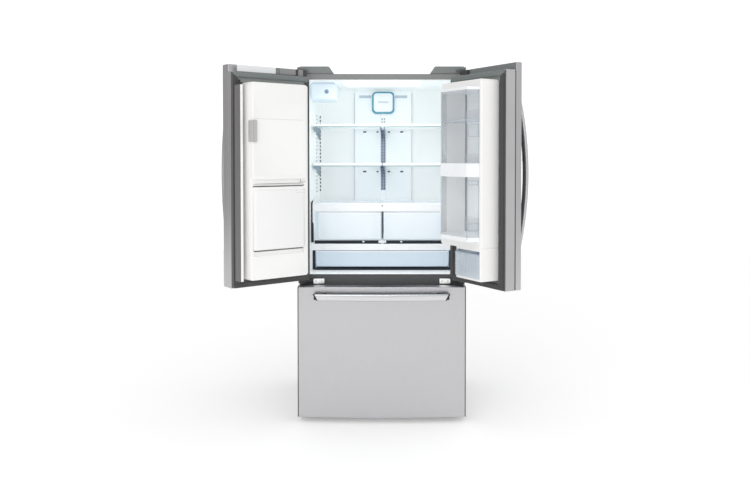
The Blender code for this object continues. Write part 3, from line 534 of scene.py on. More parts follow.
# back sheet with ribs and screws, machine cover with louvres
bm = bmesh.new()
add_box(bm, -HW + 0.001, HW - 0.001, 0.7072, 0.7085, 0.297, ct - 0.001)
for x in (-0.26, -0.09, 0.09, 0.26):
    add_prism(bm, fillet([(x - 0.030, 0.380), (x + 0.030, 0.380), (x + 0.030, 1.640), (x - 0.030, 1.640)], 0.012, 4), "y", 0.7080, 0.7096)
o = finish_mesh("rear_sheet", bm, ZINC, "cabinet", M0, 0.0005, seg=2, slot="zinc_steel", reps=("back_panel",))
bm = bmesh.new()
for x in frange(-0.40, 0.40, 6):
    for z in (0.305, 1.718):
        add_disc_solid(bm, (x, 0.7084, z), "y", [(0, 0.005), (0.0010, 0.0046), (0.0013, 0.003)], 12)
for z in frange(0.45, 1.60, 5):
    for x in (-0.405, 0.405):
        add_disc_solid(bm, (x, 0.7084, z), "y", [(0, 0.005), (0.0010, 0.0046), (0.0013, 0.003)], 12)
finish_mesh("rear_screws", bm, ZINC, "cabinet", M0, slot="zinc_steel")
mc = boxes("rear_machine_cover", [(-0.411, 0.411, 0.7072, 0.7088, 0.061, 0.2945)], BLACKP, "cabinet", M0, 0.0, slot="black_plastic",
           reps=("machine_cover",))
carve(mc, lambda bm: [add_box(bm, x - 0.018, x + 0.018, 0.70, 0.72, z, z + 0.0065) for x in frange(-0.34, 0.34, 12) for z in frange(0.10, 0.25, 8)])
bm = bmesh.new()
for x in (-0.40, -0.2, 0.0, 0.2, 0.40):
    add_disc_solid(bm, (x, 0.7087, 0.284), "y", [(0, 0.005), (0.0008, 0.0046), (0.0011, 0.003)], 12)
finish_mesh("machine_cover_screws", bm, ZINC, "cabinet", M0, slot="zinc_steel")

# ================================================================== fresh-food compartment
LW0, LW1, LZ0, LZ1, LY1 = 0.377, 0.364, 0.728, 1.700, 0.590


def lin_w(y):
    return LW0 + (LW1 - LW0) * (y + 0.01) / 0.60


bm = bmesh.new()
rr = []
rr.append(ring_xz(-0.3802, 0.3802, 0.7248, 1.7032, 0.012, 0.0005))
rr.append(ring_xz(-0.3802, 0.3802, 0.7248, 1.7032, 0.012, -0.0010))
rr.append(ring_xz(-0.3790, 0.3790, 0.7262, 1.7020, 0.012, -0.0014))
rr.append(ring_xz(-lin_w(0.002), lin_w(0.002), LZ0, LZ1, 0.014, 0.0015))
for y in (0.03, 0.10, 0.30, 0.50, 0.56):
    rr.append(ring_xz(-lin_w(y), lin_w(y), LZ0, LZ1, 0.014 + 0.02 * min(1, y / 0.3), y))
rr.append(ring_xz(-lin_w(0.58) + 0.004, lin_w(0.58) - 0.004, LZ0 + 0.004, LZ1 - 0.004, 0.034, 0.582))
rr.append(ring_xz(-lin_w(0.59) + 0.014, lin_w(0.59) - 0.014, LZ0 + 0.014, LZ1 - 0.014, 0.030, 0.5895))
add_loft(bm, rr, False, True)
finish_mesh("fresh_food_liner", bm, LINER, "cabinet", M0, 0.0, slot="white_liner", reps=("fridge_liner",), angle=40)

# side-wall ladder strips with slots
for s, side in ((-1, "left"), (1, "right")):
    bm = bmesh.new()
    # the rear ladder's slots use the painted gap shade; the front ladder's slots are grey
    for yc, mt_, dz in ((0.380, SEAM, 0.0042), (0.553, GAP_SHADE, 0.0060)):
        w = lin_w(yc)
        a, b = sorted((s * (w - 0.0030), s * (w + 0.001)))
        add_box(bm, a, b, yc - 0.011, yc + 0.011, 1.100, 1.560)
        bs = bmesh.new()
        for z in frange(1.126, 1.542, 20):
            a2, b2 = sorted((s * (w - 0.0080), s * (w - 0.0015)))
            add_box(bs, a2, b2, yc - 0.0060, yc + 0.0040, z - dz, z + dz)
        finish_mesh("side_ladder_slots_%s_%d" % (side, int(yc * 1000)), bs, mt_, "cabinet", M0, 0.0, slot="grey_plastic")
    finish_mesh("side_ladder_" + side, bm, LINER, "cabinet", M0, 0.0010, seg=2, slot="white_plastic")

# air duct panel in three strips with centre ladder
bm = bmesh.new()
for x0, x1 in ((-0.163, -0.0165), (0.0165, 0.163)):
    add_box(bm, x0, x1, 0.5735, 0.5893, 1.036, 1.690)
add_box(bm, -0.0165, 0.0165, 0.5700, 0.5893, 1.036, 1.690)
finish_mesh("duct_panel", bm, DUCTW, "cabinet", M0, 0.0030, slot="white_plastic", reps=("air_duct_panel",))
boxes("duct_panel_seams", [(-0.1650, -0.1622, 0.5800, 0.5890, 1.04, 1.680), (0.1622, 0.1650, 0.5800, 0.5890, 1.04, 1.680)], SEAM,
      "cabinet", M0, 0.0, slot="grey_plastic")
boxes("centre_ladder", [(-0.0135, 0.0135, 0.5655, 0.5705, 1.125, 1.470)], TRACK, "cabinet", M0, 0.0012, seg=2, slot="grey_plastic")
bm = bmesh.new()
boxes("centre_ladder_ends", [(-0.0135, 0.0135, 0.5660, 0.5705, 1.060, 1.124), (-0.0135, 0.0135, 0.5660, 0.5705, 1.471, 1.568)], DUCTW, "cabinet", M0, 0.0012, seg=2, slot="white_plastic")
for z in frange(1.135, 1.460, 19) + [1.516, 1.532]:
    for x in (-0.0065, 0.0065):
        add_box(bm, x - 0.0022, x + 0.0022, 0.5650, 0.5662, z - 0.0048, z + 0.0048)
finish_mesh("centre_ladder_slots", bm, SLOT, "cabinet", M0, slot="grey_plastic")
bm = bmesh.new()
for z in (1.459, 1.231):
    for x, hw_ in ((-0.1064, 0.0100), (-0.0330, 0.0058), (0.0325, 0.0068), (0.1064, 0.0092)):
        add_prism(bm, fillet(rect(x - hw_, x + hw_, z - 0.0042, z + 0.0042), 0.0030, 3), "y", 0.5728, 0.5742)
finish_mesh("duct_vents", bm, SLOT, "cabinet", M0, slot="grey_plastic")
bm = bmesh.new()
for s in (-1, 1):
    for z in (1.6545, 1.6585, 1.6625, 1.6665):
        a, b = sorted((s * 0.068, s * 0.138))
        add_prism(bm, fillet(rect(a, b, z - 0.0010, z + 0.0010), 0.0009, 2), "y", 0.5728, 0.5742)
finish_mesh("duct_louvres", bm, KNOB, "cabinet", M0, slot="grey_plastic")

# round-cornered air filter cover with tinted ring
fz0, fz1, fw = 1.563, 1.688, 0.0635
bm = bmesh.new()
R = [ring_xz(-fw, fw, fz0, fz1, 0.024, 0.5725, 8), ring_xz(-fw, fw, fz0, fz1, 0.024, 0.553, 8),
     ring_xz(-fw + 0.003, fw - 0.003, fz0 + 0.003, fz1 - 0.003, 0.022, 0.5485, 8),
     ring_xz(-fw + 0.0105, fw - 0.0105, fz0 + 0.0105, fz1 - 0.0105, 0.017, 0.5480, 8)]
add_loft(bm, R, True, False)
finish_mesh("air_filter_bezel", bm, CYAN, "cabinet", M0, 0.0, slot="white_plastic", reps=("air_filter_cover",), angle=50)
bm = bmesh.new()
R = [ring_xz(-fw + 0.0098, fw - 0.0098, fz0 + 0.0098, fz1 - 0.0098, 0.0175, 0.552, 8),
     ring_xz(-fw + 0.0098, fw - 0.0098, fz0 + 0.0098, fz1 - 0.0098, 0.0175, 0.5470, 8),
     ring_xz(-fw + 0.0130, fw - 0.0130, fz0 + 0.0130, fz1 - 0.0130, 0.0155, 0.5452, 8),
     ring_xz(-fw + 0.030, fw - 0.030, fz0 + 0.030, fz1 - 0.030, 0.012, 0.5440, 8)]
add_loft(bm, R, True, True)
finish_mesh("air_filter_lid", bm, TRIMW, "cabinet", M0, 0.0, slot="white_plastic", angle=50)
bm = bmesh.new()
for z in (1.6235, 1.6275, 1.6315):
    add_prism(bm, fillet(rect(-0.030, 0.030, z - 0.0009, z + 0.0009), 0.0008, 2), "y", 0.5436, 0.5448)
finish_mesh("air_filter_slots", bm, SEAM, "cabinet", M0, slot="grey_plastic")

# ceiling light
bm = bmesh.new()
R = [ring_xy(rect(-0.195, 0.195, 0.050, 0.215), 0.016, 1.6996), ring_xy(rect(-0.195, 0.195, 0.050, 0.215), 0.016, 1.6915),
     ring_xy(rect(-0.190, 0.190, 0.055, 0.210), 0.013, 1.6865), ring_xy(rect(-0.180, 0.180, 0.065, 0.200), 0.010, 1.6853)]
add_loft(bm, R, True, True)
finish_mesh("ceiling_lamp", bm, LAMP, "cabinet", M0, 0.0, slot="clear_plastic", reps=("ceiling_light",), angle=50)

# water filter housing and its cover
bm = bmesh.new()
R = [ring_xz(-0.3700, -0.2430, 1.6125, 1.6990, 0.012, 0.1195), ring_xz(-0.3690, -0.2420, 1.6125, 1.6990, 0.012, 0.362)]
add_loft(bm, R, True, True)
finish_mesh("filter_housing", bm, FILTB, "cabinet", M0, 0.002, slot="blue_plastic")
bm = bmesh.new()
R = [ring_xz(-0.3640, -0.2400, 1.6135, 1.6915, 0.012, 0.1160), ring_xz(-0.3640, -0.2400, 1.6135, 1.6915, 0.012, 0.1100),
     ring_xz(-0.3610, -0.2430, 1.6165, 1.6885, 0.010, 0.1075), ring_xz(-0.345, -0.258, 1.630, 1.678, 0.008, 0.1068)]
add_loft(bm, R, True, True)
finish_mesh("filter_lid_panel", bm, FILTB, "filter_lid", M0, 0.0, slot="blue_plastic", reps=("water_filter_cover",), angle=40)
bm = bmesh.new()
add_disc_solid(bm, (-0.286, 0.1069, 1.652), "y", [(0.0012, 0.0115), (-0.0001, 0.0112), (-0.00035, 0.0085)], 24)
finish_mesh("filter_lid_knob", bm, KNOB, "filter_lid", M0, 0.0, slot="blue_plastic")


# shelves
def shelf(tag, s, z, node):
    a, b = sorted((s * 0.0045, s * 0.3585))
    bm = bmesh.new()
    add_box(bm, a + 0.001, b - 0.001, 0.158, 0.540, z + 0.0065, z + 0.0115)
    g = finish_mesh("pane_" + tag, bm, GLASSP, "cabinet", M0, 0.0006, seg=2, slot="shelf_glass", reps=(node,))
    bm = bmesh.new()
    pr = fillet([(0.1505, z + 0.0050), (0.1505, z + 0.0150), (0.1545, z + 0.0158), (0.1640, z + 0.0158), (0.1640, z + 0.0120),
                 (0.1580, z + 0.0120), (0.1580, z + 0.0050)], [0.0012, 0.002, 0.001, 0.001, 0, 0, 0.001], 3)
    add_prism(bm, pr, "x", a, b)
    add_box(bm, a, b, 0.534, 0.5475, z + 0.002, z + 0.0155)
    finish_mesh("trim_" + tag, bm, TRIMW, "cabinet", M0, 0.0, slot="white_plastic")
    boxes("edge_" + tag, [(a, b, 0.1509, 0.1580, z + 0.0004, z + 0.0049)], GEDGE, "cabinet", M0, 0.0006, seg=2, slot="shelf_glass")
    bm = bmesh.new()
    for u, v in ((0.0087, 0.0122), (0.3585, 0.3628)):
        arm = fillet([(0.190, z + 0.0060), (0.190, z - 0.003), (0.240, z - 0.010), (0.430, z - 0.030), (0.520, z - 0.056),
                      (0.5560, z - 0.056), (0.5560, z + 0.0060)], [0, 0.003, 0.01, 0.02, 0.008, 0.004, 0], 3)
        add_prism(bm, arm, "x", *sorted((s * u, s * v)))
    finish_mesh("arms_" + tag, bm, BRACK, "cabinet", M0, 0.0006, seg=2, slot="shelf_glass")


shelf("upper_left", -1, 1.471, "shelf_upper_left")
shelf("upper_right", 1, 1.471, "shelf_upper_right")
shelf("lower_left", -1, 1.266, "shelf_lower_left")
shelf("lower_right", 1, 1.266, "shelf_lower_right")


def bow(x0, x1, y, d, n=16):
    xm, h = (x0 + x1) / 2, (x1 - x0) / 2
    return [(x, y - d * (1 - ((x - xm) / h) ** 2)) for x in frange(x0, x1, n)]


# crisper cover shelf: bowed white trim, glass pane, webs
bm = bmesh.new()
add_prism(bm, bow(-0.3622, 0.3622, 0.1540, 0.007) + bow(-0.3622, 0.3622, 0.1640, 0.007)[::-1], "z", 1.0305, 1.0738)
finish_mesh("crisper_cover_trim", bm, TRIMW, "cabinet", M0, 0.0030, slot="white_plastic", reps=("crisper_cover_shelf",))
boxes("crisper_cover_frame", [(-0.3615, 0.3615, 0.548, 0.560, 1.046, 1.066), (-0.3622, -0.350, 0.160, 0.552, 1.046, 1.066),
                              (0.350, 0.3622, 0.160, 0.552, 1.046, 1.066), (-0.010, 0.010, 0.160, 0.552, 1.046, 1.0655)],
      TRIMW, "cabinet", M0, 0.0015, slot="white_plastic")
boxes("crisper_cover_pane", [(-0.351, -0.009, 0.160, 0.549, 1.0560, 1.0600), (0.009, 0.351, 0.160, 0.549, 1.0560, 1.0600)],
      CRISP, "cabinet", M0, 0.0005, seg=2, slot="shelf_glass")
# painted shade: dark strip standing in for the shaded gap between the two crisper drawers
boxes("crisper_centre_gap_shade", [(-0.0023, 0.0023, 0.1705, 0.548, 0.886, 1.046)], SLOT, "cabinet", M0, 0.0005, seg=2, slot="grey_plastic")
boxes("crisper_side_webs", [(-0.3622, -0.3550, 0.160, 0.548, 0.916, 1.046), (0.3550, 0.3622, 0.160, 0.548, 0.916, 1.046)], DUCTW,
      "cabinet", M0, 0.0008, seg=2, slot="white_plastic")
bm = bmesh.new()
add_disc_solid(bm, (0.0, 0.1470, 1.0605), "y", [(0.002, 0.0040), (-0.0002, 0.0036)], 16)
finish_mesh("crisper_cover_stud", bm, SLOT, "cabinet", M0, slot="grey_plastic")

# painted shade: dark strips standing in for the shaded gaps on both sides of the drawer stack
for s, side in ((-1, "left"), (1, "right")):
    bm = bmesh.new()
    pr = [(0.3590, 0.868), (0.3740, 0.868), (0.3745, 1.060), (0.3710, 1.082), (0.3560, 1.0960), (0.3640, 1.080), (0.3662, 1.060),
          (0.3655, 0.975), (0.3600, 0.965)]
    add_prism(bm, [(s * x, z) for x, z in pr], "y", 0.1560, 0.1640)
    finish_mesh("stack_gap_shade_" + side, bm, GAP_SHADE, "cabinet", M0, 0.0, slot="grey_plastic")

# painted shade: dark strip standing in for the shaded gap under the crispers, with two small clips and a centre catch
boxes("crisper_gap_shade", [(-0.355, -0.0065, 0.152, 0.160, 0.8512, 0.8790), (0.0065, 0.355, 0.152, 0.160, 0.8512, 0.8790)], GAP_SHADE,
      "cabinet", M0, 0.0008, seg=2, slot="grey_plastic")
boxes("crisper_rail_clips", [(-0.104, -0.094, 0.1500, 0.1525, 0.8690, 0.8765), (0.094, 0.104, 0.1500, 0.1525, 0.8690, 0.8765),
                             (-0.020, 0.020, 0.1485, 0.1540, 0.8665, 0.8790)], TRIMW, "cabinet", M0, 0.0012, seg=2, slot="white_plastic")


def bin_tub(name, plan, z0, z1, wall, mat, body, M, rimmat, rim=0.004, rimh=0.006, r=0.012, slot="clear_plastic", reps=(),
            taper=0.985, rr_=None):
    """Moulded tub: outer and inner walls, rounded plan corners, rolled rim."""
    cx = sum(p[0] for p in plan) / len(plan)
    cy = sum(p[1] for p in plan) / len(plan)

    def off(k, d, z, s=1.0):
        q = fillet(plan, r, 4)
        out = []
        for i, p in enumerate(q):
            a, b = Vector(q[i - 1]), Vector(q[(i + 1) % len(q)])
            t = b - a
            if t.length < 1e-9:
                out.append((p[0], p[1], z))
                continue
            t.normalize()
            nrm = Vector((t.y, -t.x))
            if (Vector(p) - Vector((cx, cy))).dot(nrm) < 0:
                nrm = -nrm
            x, y = p[0] - nrm.x * d, p[1] - nrm.y * d
            out.append((cx + (x - cx) * s, cy + (y - cy) * s, z))
        return out
    bm = bmesh.new()
    R = [off(0, 0.006, z0, taper), off(0, 0.0015, z0 + 0.002, taper), off(0, 0.0, z0 + 0.007, taper), off(0, 0.0, z1 - 0.002),
         off(0, wall, z1 - 0.002), off(0, wall, z0 + wall + 0.007, taper), off(0, wall + 0.004, z0 + wall + 0.001, taper),
         off(0, wall + 0.010, z0 + wall, taper)]
    add_loft(bm, R, True, True)
    o = finish_mesh(name, bm, mat, body, M, 0.0, slot=slot, reps=reps, angle=50)
    bm = bmesh.new()
    R = [off(0, 0.0, z1 - rimh), off(0, 0.0, z1 - 0.0006), off(0, 0.0008, z1), off(0, rim - 0.0008, z1), off(0, rim, z1 - 0.0006),
         off(0, rim, z1 - rimh), off(0, 0.0, z1 - rimh)]
    add_loft(bm, R)
    finish_mesh(name + "_rim", bm, rimmat, body, M, 0.0, slot=slot, angle=50)
    return o


for s, side in ((-1, "left"), (1, "right")):
    body = "crisper_drawer_" + side
    a, b = sorted((s * 0.0060, s * 0.3345))
    plan = bow(a, b, 0.1562, 0.004, 10) + [(b, 0.5445), (a, 0.5445)]
    bin_tub("crisper_tub_" + side, plan, 0.8805, 1.0255, 0.0028, CRISP, body, M0, TRIMW, 0.006, 0.009, [0.003] + [0.0] * 9 + [0.003, 0.012, 0.012],
            reps=("crisper_" + side,), taper=0.992)
    # darker bluish side bands near both ends of the drawer, seen through the frosted wall
    bm = bmesh.new()
    for u in ((a + 0.004, a + 0.044), (b - 0.044, b - 0.004)):
        R = [[(x, yy, z) for x, z in fillet(rect(u[0], u[1], 0.893, 1.014), 0.010, 4)] for yy in (0.1640, 0.1652)]
        add_loft(bm, R, True, True)
    finish_mesh("crisper_side_bands_" + side, bm, CRISPE, body, M0, 0.0, slot="clear_plastic")

# pantry cover and pantry drawer
bm = bmesh.new()
add_prism(bm, bow(-0.3662, 0.3662, 0.1085, 0.004) + bow(-0.3662, 0.3662, 0.1190, 0.004)[::-1], "z", 0.8325, 0.8658)
finish_mesh("pantry_cover_trim", bm, TRIMW, "cabinet", M0, 0.0025, slot="white_plastic", reps=("pantry_cover",))
boxes("pantry_cover_plate", [(-0.3632, 0.3632, 0.114, 0.5595, 0.8425, 0.8495), (-0.3632, -0.3540, 0.1305, 0.5495, 0.7290, 0.845),
                             (0.3540, 0.3632, 0.1305, 0.5495, 0.7290, 0.845)], DUCTW, "cabinet", M0, 0.001, seg=2, slot="white_plastic")
# painted shade: dark sheets on the sides, floor and back of the pantry well, standing in for the shade around the
# pantry drawer
bm = bmesh.new()
for x0, x1, z0, z1 in ((-0.3630, -0.3475, 0.7295, 0.832), (0.3475, 0.3630, 0.7295, 0.832)):
    add_box(bm, x0, x1, 0.1290, 0.1304, z0, z1)
add_box(bm, -0.3630, 0.3630, 0.1290, 0.4800, 0.7284, 0.7296)
add_box(bm, -0.3475, 0.3475, 0.5010, 0.5024, 0.7290, 0.840)
finish_mesh("pantry_well_shade", bm, GAP_SHADE, "cabinet", M0, 0.0, slot="grey_plastic")
boxes("pantry_shadow_strip", [(-0.3515, 0.3515, 0.1180, 0.1280, 0.7290, 0.7350)], GAP_SHADE, "cabinet", M0, 0.0, slot="grey_plastic")
plan = bow(-0.3445, 0.3445, 0.1083, 0.004, 16) + [(0.3445, 0.4995), (-0.3445, 0.4995)]
bin_tub("pantry_tub", plan, 0.7475, 0.8285, 0.0028, PANTRY, "pantry", M0, TRIMW, 0.006, 0.0045, [0.012] + [0.0] * 15 + [0.012, 0.012, 0.012],
        reps=("pantry_drawer",), taper=0.996)
boxes("pantry_front_lip", [(-0.340, 0.340, 0.1118, 0.1126, 0.7490, 0.7545)], CLEARE, "pantry", M0, 0.0, slot="clear_plastic")

# ================================================================== left door
XS = [0.002] + frange(0.02, 0.12, 5) + frange(0.12, 0.30, 8)[1:] + [0.325, 0.352, 0.37, 0.39, 0.408, 0.416]
ZS = [0.712, 0.80, 0.97, 1.10, 1.25, 1.36, 1.50, 1.62, 1.704, 1.742]


def left_skip(x, z):
    return (0.12 < x < 0.30 and 0.97 < z < 1.36) or (x > 0.352 and z > 1.704)


o = panel("left_steel_skin", XS, ZS, left_skip, front_y, -0.0520, STEEL, "left_door", ML, 0.0035, flip=True, slot="door_steel",
          reps=("left_door_shell",))
panel("left_steel_back", [0.002, 0.12, 0.30, 0.352, 0.416], [0.712, 0.97, 1.36, 1.704, 1.708],
      lambda x, z: (0.12 < x < 0.30 and 0.97 < z < 1.36) or (x > 0.352 and z > 1.704), lambda x: -0.0522, -0.0312, STEEL, "left_door", ML,
      0.0015, flip=True, slot="door_steel")
boxes("left_top_cap", [(0.250, 0.3515, -0.0521, -0.0505, 1.7085, 1.7405)], FLANGE, "left_door", ML, 0.0006, seg=2, flip=True, slot="dark_plastic")
for tag, xa, xb, mt_ in (("inner", 0.3530, 0.3655, DARK), ("mid", 0.3659, 0.3935, CAPM), ("outer", 0.3939, 0.4135, DARK)):
    bm = bmesh.new()
    add_prism(bm, [(x, front_y(x) + 0.0015) for x in frange(xa, xb, 4)] + [(xb, -0.0315), (xa, -0.0315)], "z", 1.7082, 1.7395)
    finish_mesh("left_hinge_end_cap_" + tag, bm, mt_, "left_door", ML, 0.0012, seg=2, flip=True, slot="dark_plastic")
boxes("left_top_cap_block", [(0.2410, 0.2610, -0.0316, -0.0296, 1.7095, 1.7385)], TOPCAP, "left_door", ML, 0.0006, seg=2, flip=True, slot="dark_plastic")
boxes("left_top_cap_mid", [(0.2620, 0.3500, -0.0316, -0.0298, 1.7095, 1.7385)], CAPM, "left_door", ML, 0.0006, seg=2, flip=True, slot="dark_plastic")
boxes("left_top_cap_strip", [(0.0360, 0.2400, -0.0316, -0.0298, 1.7095, 1.7385)], CAPL, "left_door", ML, 0.0006, seg=2, flip=True, slot="grey_plastic")
# dispenser bezel, recess, chute, key row
bm = bmesh.new()
A = ring_xz(0.1205, 0.2995, 0.9705, 1.3595, 0.006, -0.0600)
B_ = ring_xz(0.1205, 0.2995, 0.9705, 1.3595, 0.006, -0.1095)
C_ = ring_xz(0.1235, 0.2965, 0.9735, 1.3565, 0.005, -0.1109)
D_ = ring_xz(0.136, 0.284, 0.9865, 1.2035, 0.010, -0.1109)
E_ = ring_xz(0.138, 0.282, 0.9885, 1.2015, 0.010, -0.1080)
F_ = ring_xz(0.144, 0.276, 0.9950, 1.1950, 0.016, -0.0590)
add_loft(bm, [A, B_, C_, D_, E_, F_], False, True)
finish_mesh("dispenser_bezel", bm, BLACKP, "left_door", ML, 0.0, slot="dark_plastic", flip=True, reps=("dispenser_housing",), angle=40)
bm = bmesh.new()
add_prism(bm, fillet(rect(0.130, 0.290, 1.225, 1.348), 0.006, 4), "y", -0.1110, -0.1098)
finish_mesh("dispenser_panel", bm, mat_plastic("gloss_black", (0.012, 0.012, 0.014), 0.08, 0.14, 400.0, 0.01, 0.01, 0.6, 0.6), "left_door", ML,
            0.0004, seg=2, flip=True, slot="dark_plastic")
bm = bmesh.new()
for k in range(5):
    add_prism(bm, fillet(rect(0.143 + 0.028 * k, 0.161 + 0.028 * k, 1.240, 1.250), 0.003, 3), "y", -0.11105, -0.1108)
finish_mesh("dispenser_keys", bm, LATCHG, "left_door", ML, 0.0, flip=True, slot="grey_plastic")
bm = bmesh.new()
add_disc_solid(bm, (0.210, -0.085, 1.186), "z", [(0.012, 0.026), (0.0, 0.024), (-0.010, 0.016), (-0.011, 0.012), (-0.002, 0.010)], 24)
finish_mesh("dispenser_chute", bm, DARK, "left_door", ML, 0.0, flip=True, slot="dark_plastic", angle=50)
boxes("dispenser_tray", [(0.146, 0.274, -0.105, -0.062, 0.9890, 0.9935)] + [(x - 0.0015, x + 0.0015, -0.104, -0.063, 0.9930, 0.9955) for x in frange(0.152, 0.268, 14)],
      DARK, "left_door", ML, 0.0005, seg=1, flip=True, slot="dark_plastic")
bm = bmesh.new()
pd = [(-0.0845, 1.195), (-0.0765, 1.195), (-0.0785, 1.080), (-0.0835, 1.0712), (-0.0875, 1.076)]
add_prism(bm, fillet(pd, [0.001, 0.001, 0.003, 0.002, 0.002], 3), "x", 0.189, 0.231)
finish_mesh("dispenser_lever_pad", bm, LATCHG, "dispenser_lever", ML, 0.0012, flip=True, slot="grey_plastic", reps=("dispenser_paddle",))

# inner flange and seals of both doors
def flange(tag, body, M, flip, mat, y0=-0.0308, y1=-0.0132):
    bm = bmesh.new()
    A = ring_xz(0.0045, 0.4135, 0.7145, 1.7055, 0.004, y0, 3)
    B = ring_xz(0.0045, 0.4135, 0.7145, 1.7055, 0.004, y1, 3)
    C = ring_xz(0.038, 0.362, 0.752, 1.658, 0.018, y1 + 0.0004, 3)
    D = ring_xz(0.038, 0.362, 0.752, 1.658, 0.018, y0, 3)
    add_loft(bm, [A, B, C, D])
    # faces above z 1.654 take the lighter top copy: painted highlight
    finish_mesh("flange_" + tag, bm, [mat, FLANGE_TOP_LIT], body, M, 0.0, flip=flip, slot="dark_plastic", above=1.654)


def seal(name, o, i, y0, y1, body, M, flip, reps):
    """Magnetic seal: ribbed bellows section swept round a rounded rectangle."""
    bm = bmesh.new()
    x0, x1, z0, z1 = o
    a0, a1, b0, b1 = i
    w = a0 - x0
    prof_ = [(0.0, 0.0), (0.0, 0.30), (0.10, 0.45), (0.0, 0.60), (0.05, 0.90), (0.20, 1.0), (0.80, 1.0), (0.95, 0.90), (1.0, 0.60),
             (0.90, 0.45), (1.0, 0.30), (1.0, 0.0)]
    rings = []
    for u, v in prof_:
        d = w * u
        dz = (b0 - z0) * u
        rings.append(ring_xz(x0 + d, x1 - d, z0 + dz, z1 - dz, 0.012 * (1 - 0.5 * u), y0 + (y1 - y0) * v, 4))
    rings.append(rings[0])
    add_loft(bm, rings)
    # the fridge door seals take the lighter top copy above z 1.672: painted highlight
    finish_mesh(name, bm, [RUBBER, SEAL_TOP_LIT], body, M, 0.0, flip=flip, slot="gasket_rubber", reps=reps, angle=60, above=(1.672 if y1 > -0.02 and z1 > 1.0 else 9.0))


flange("left", "left_door", ML, True, FLANGE)
seal("seal_left", (0.008, 0.411, 0.718, 1.702), (0.028, 0.389, 0.740, 1.682), -0.0130, -0.0022, "left_door", ML, True, ("left_door_gasket",))

# moulded white inner liner with ice room above and bin well below
bm = bmesh.new()


def lr(x0, x1, z0, z1, r, y):
    return ring_xz(x0, x1, z0, z1, r, y, 5)


R = [lr(0.0395, 0.3600, 0.7550, 1.6550, 0.014, -0.0200), lr(0.0395, 0.3595, 0.7555, 1.6545, 0.014, -0.0126), lr(0.0400, 0.3510, 0.7560, 1.6540, 0.014, 0.050),
     lr(0.0404, 0.3475, 0.7566, 1.6534, 0.014, 0.077), lr(0.0425, 0.3450, 0.7585, 1.6515, 0.012, 0.0822),
     lr(0.0460, 0.3410, 0.7620, 1.6480, 0.012, 0.0838)]
add_loft(bm, R, True, True)
ldl = finish_mesh("left_inner_liner", bm, DOORW, "left_door", ML, 0.0, flip=True, slot="white_liner", reps=("left_door_liner",), angle=50)
carve(ldl,
      lambda bm: add_loft(bm, [ring_xz(-0.322, -0.054, 1.226, 1.641, 0.012, -0.018), ring_xz(-0.322, -0.054, 1.226, 1.641, 0.012, 0.12)], True, True),
      lambda bm: add_loft(bm, [ring_xz(-0.321, -0.055, 0.890, 1.192, 0.020, -0.004), ring_xz(-0.326, -0.050, 0.885, 1.196, 0.012, 0.12)], True, True),
      lambda bm: add_loft(bm, [ring_xz(-0.321, -0.055, 0.772, 0.900, 0.016, -0.004), ring_xz(-0.325, -0.051, 0.768, 0.900, 0.016, 0.0765)], True, True),
      lambda bm: add_box(bm, -0.320, -0.056, 0.070, 0.12, 0.866, 0.900))
# ice room: rounded door with shallow recess, latch
bm = bmesh.new()
R = [ring_xz(-0.3335, -0.0435, 1.2125, 1.6525, 0.010, 0.0845), ring_xz(-0.3335, -0.0435, 1.2125, 1.6525, 0.010, 0.0910),
     ring_xz(-0.3315, -0.0455, 1.2145, 1.6505, 0.009, 0.0935), ring_xz(-0.3280, -0.0490, 1.2180, 1.6470, 0.008, 0.0941),
     ring_xz(-0.3140, -0.0600, 1.2300, 1.5680, 0.008, 0.0941), ring_xz(-0.3120, -0.0620, 1.2320, 1.5660, 0.008, 0.0930)]
add_loft(bm, R, True, True)
finish_mesh("ice_room_panel", bm, DOORW, "ice_door", ML, 0.0, slot="white_plastic", reps=("ice_room_door",), angle=30)
boxes("ice_room_groove", [(-0.3110, -0.0630, 0.0928, 0.0932, 1.4868, 1.4888)], SEAML, "ice_door", ML, 0.0, slot="white_plastic")
bm = bmesh.new()
add_prism(bm, fillet([(-0.0455, 0.0964), (-0.0392, 0.0964), (-0.0392, 0.0722), (-0.0362, 0.0722), (-0.0362, 0.1042), (-0.0455, 0.1042)], [0, 0.001, 0, 0.001, 0.003, 0], 3), "z", 1.3850, 1.4795)
finish_mesh("ice_latch_hook", bm, LATCHG, "ice_latch", ML, 0.0008, seg=2, slot="grey_plastic")
bm = bmesh.new()
R = [ring_xz(-0.0655, -0.0450, 1.3835, 1.4810, 0.004, 0.0963), ring_xz(-0.0655, -0.0450, 1.3835, 1.4810, 0.004, 0.1015),
     ring_xz(-0.0640, -0.0465, 1.3850, 1.4795, 0.003, 0.1042), ring_xz(-0.0600, -0.0505, 1.400, 1.465, 0.003, 0.1030)]
add_loft(bm, R, True, True)
finish_mesh("ice_latch_pad", bm, LATCHG, "ice_latch", ML, 0.0, slot="grey_plastic", reps=("ice_room_latch",), angle=40)
boxes("left_niche_lip", [(-0.3190, -0.0570, 0.0740, 0.0800, 1.1840, 1.1925)], DOORW, "left_door", ML, 0.0006, seg=2, slot="white_liner")
boxes("left_trough_lip", [(-0.3195, -0.0565, 0.0740, 0.0765, 0.8655, 0.8850)], DOORW, "left_door", ML, 0.0006, seg=2, slot="white_liner")
boxes("ice_room_port", [(-0.332, -0.300, 0.0838, 0.0850, 1.1975, 1.2005), (-0.303, -0.300, 0.0838, 0.0850, 1.1985, 1.2110)], SEAM, "left_door", ML,
      0.0, slot="grey_plastic")
plan = [(-0.316, 0.000), (-0.060, 0.000), (-0.060, 0.078), (-0.316, 0.078)]
bin_tub("ice_bucket", plan, 1.2325, 1.4695, 0.0028, CLEARB, "left_door", ML, CLEARE, 0.005, 0.008, 0.010, reps=("ice_bin",), taper=0.98)
plan = [(-0.3240, -0.0035), (-0.0520, -0.0035), (-0.0520, 0.0960), (-0.3240, 0.0960)]
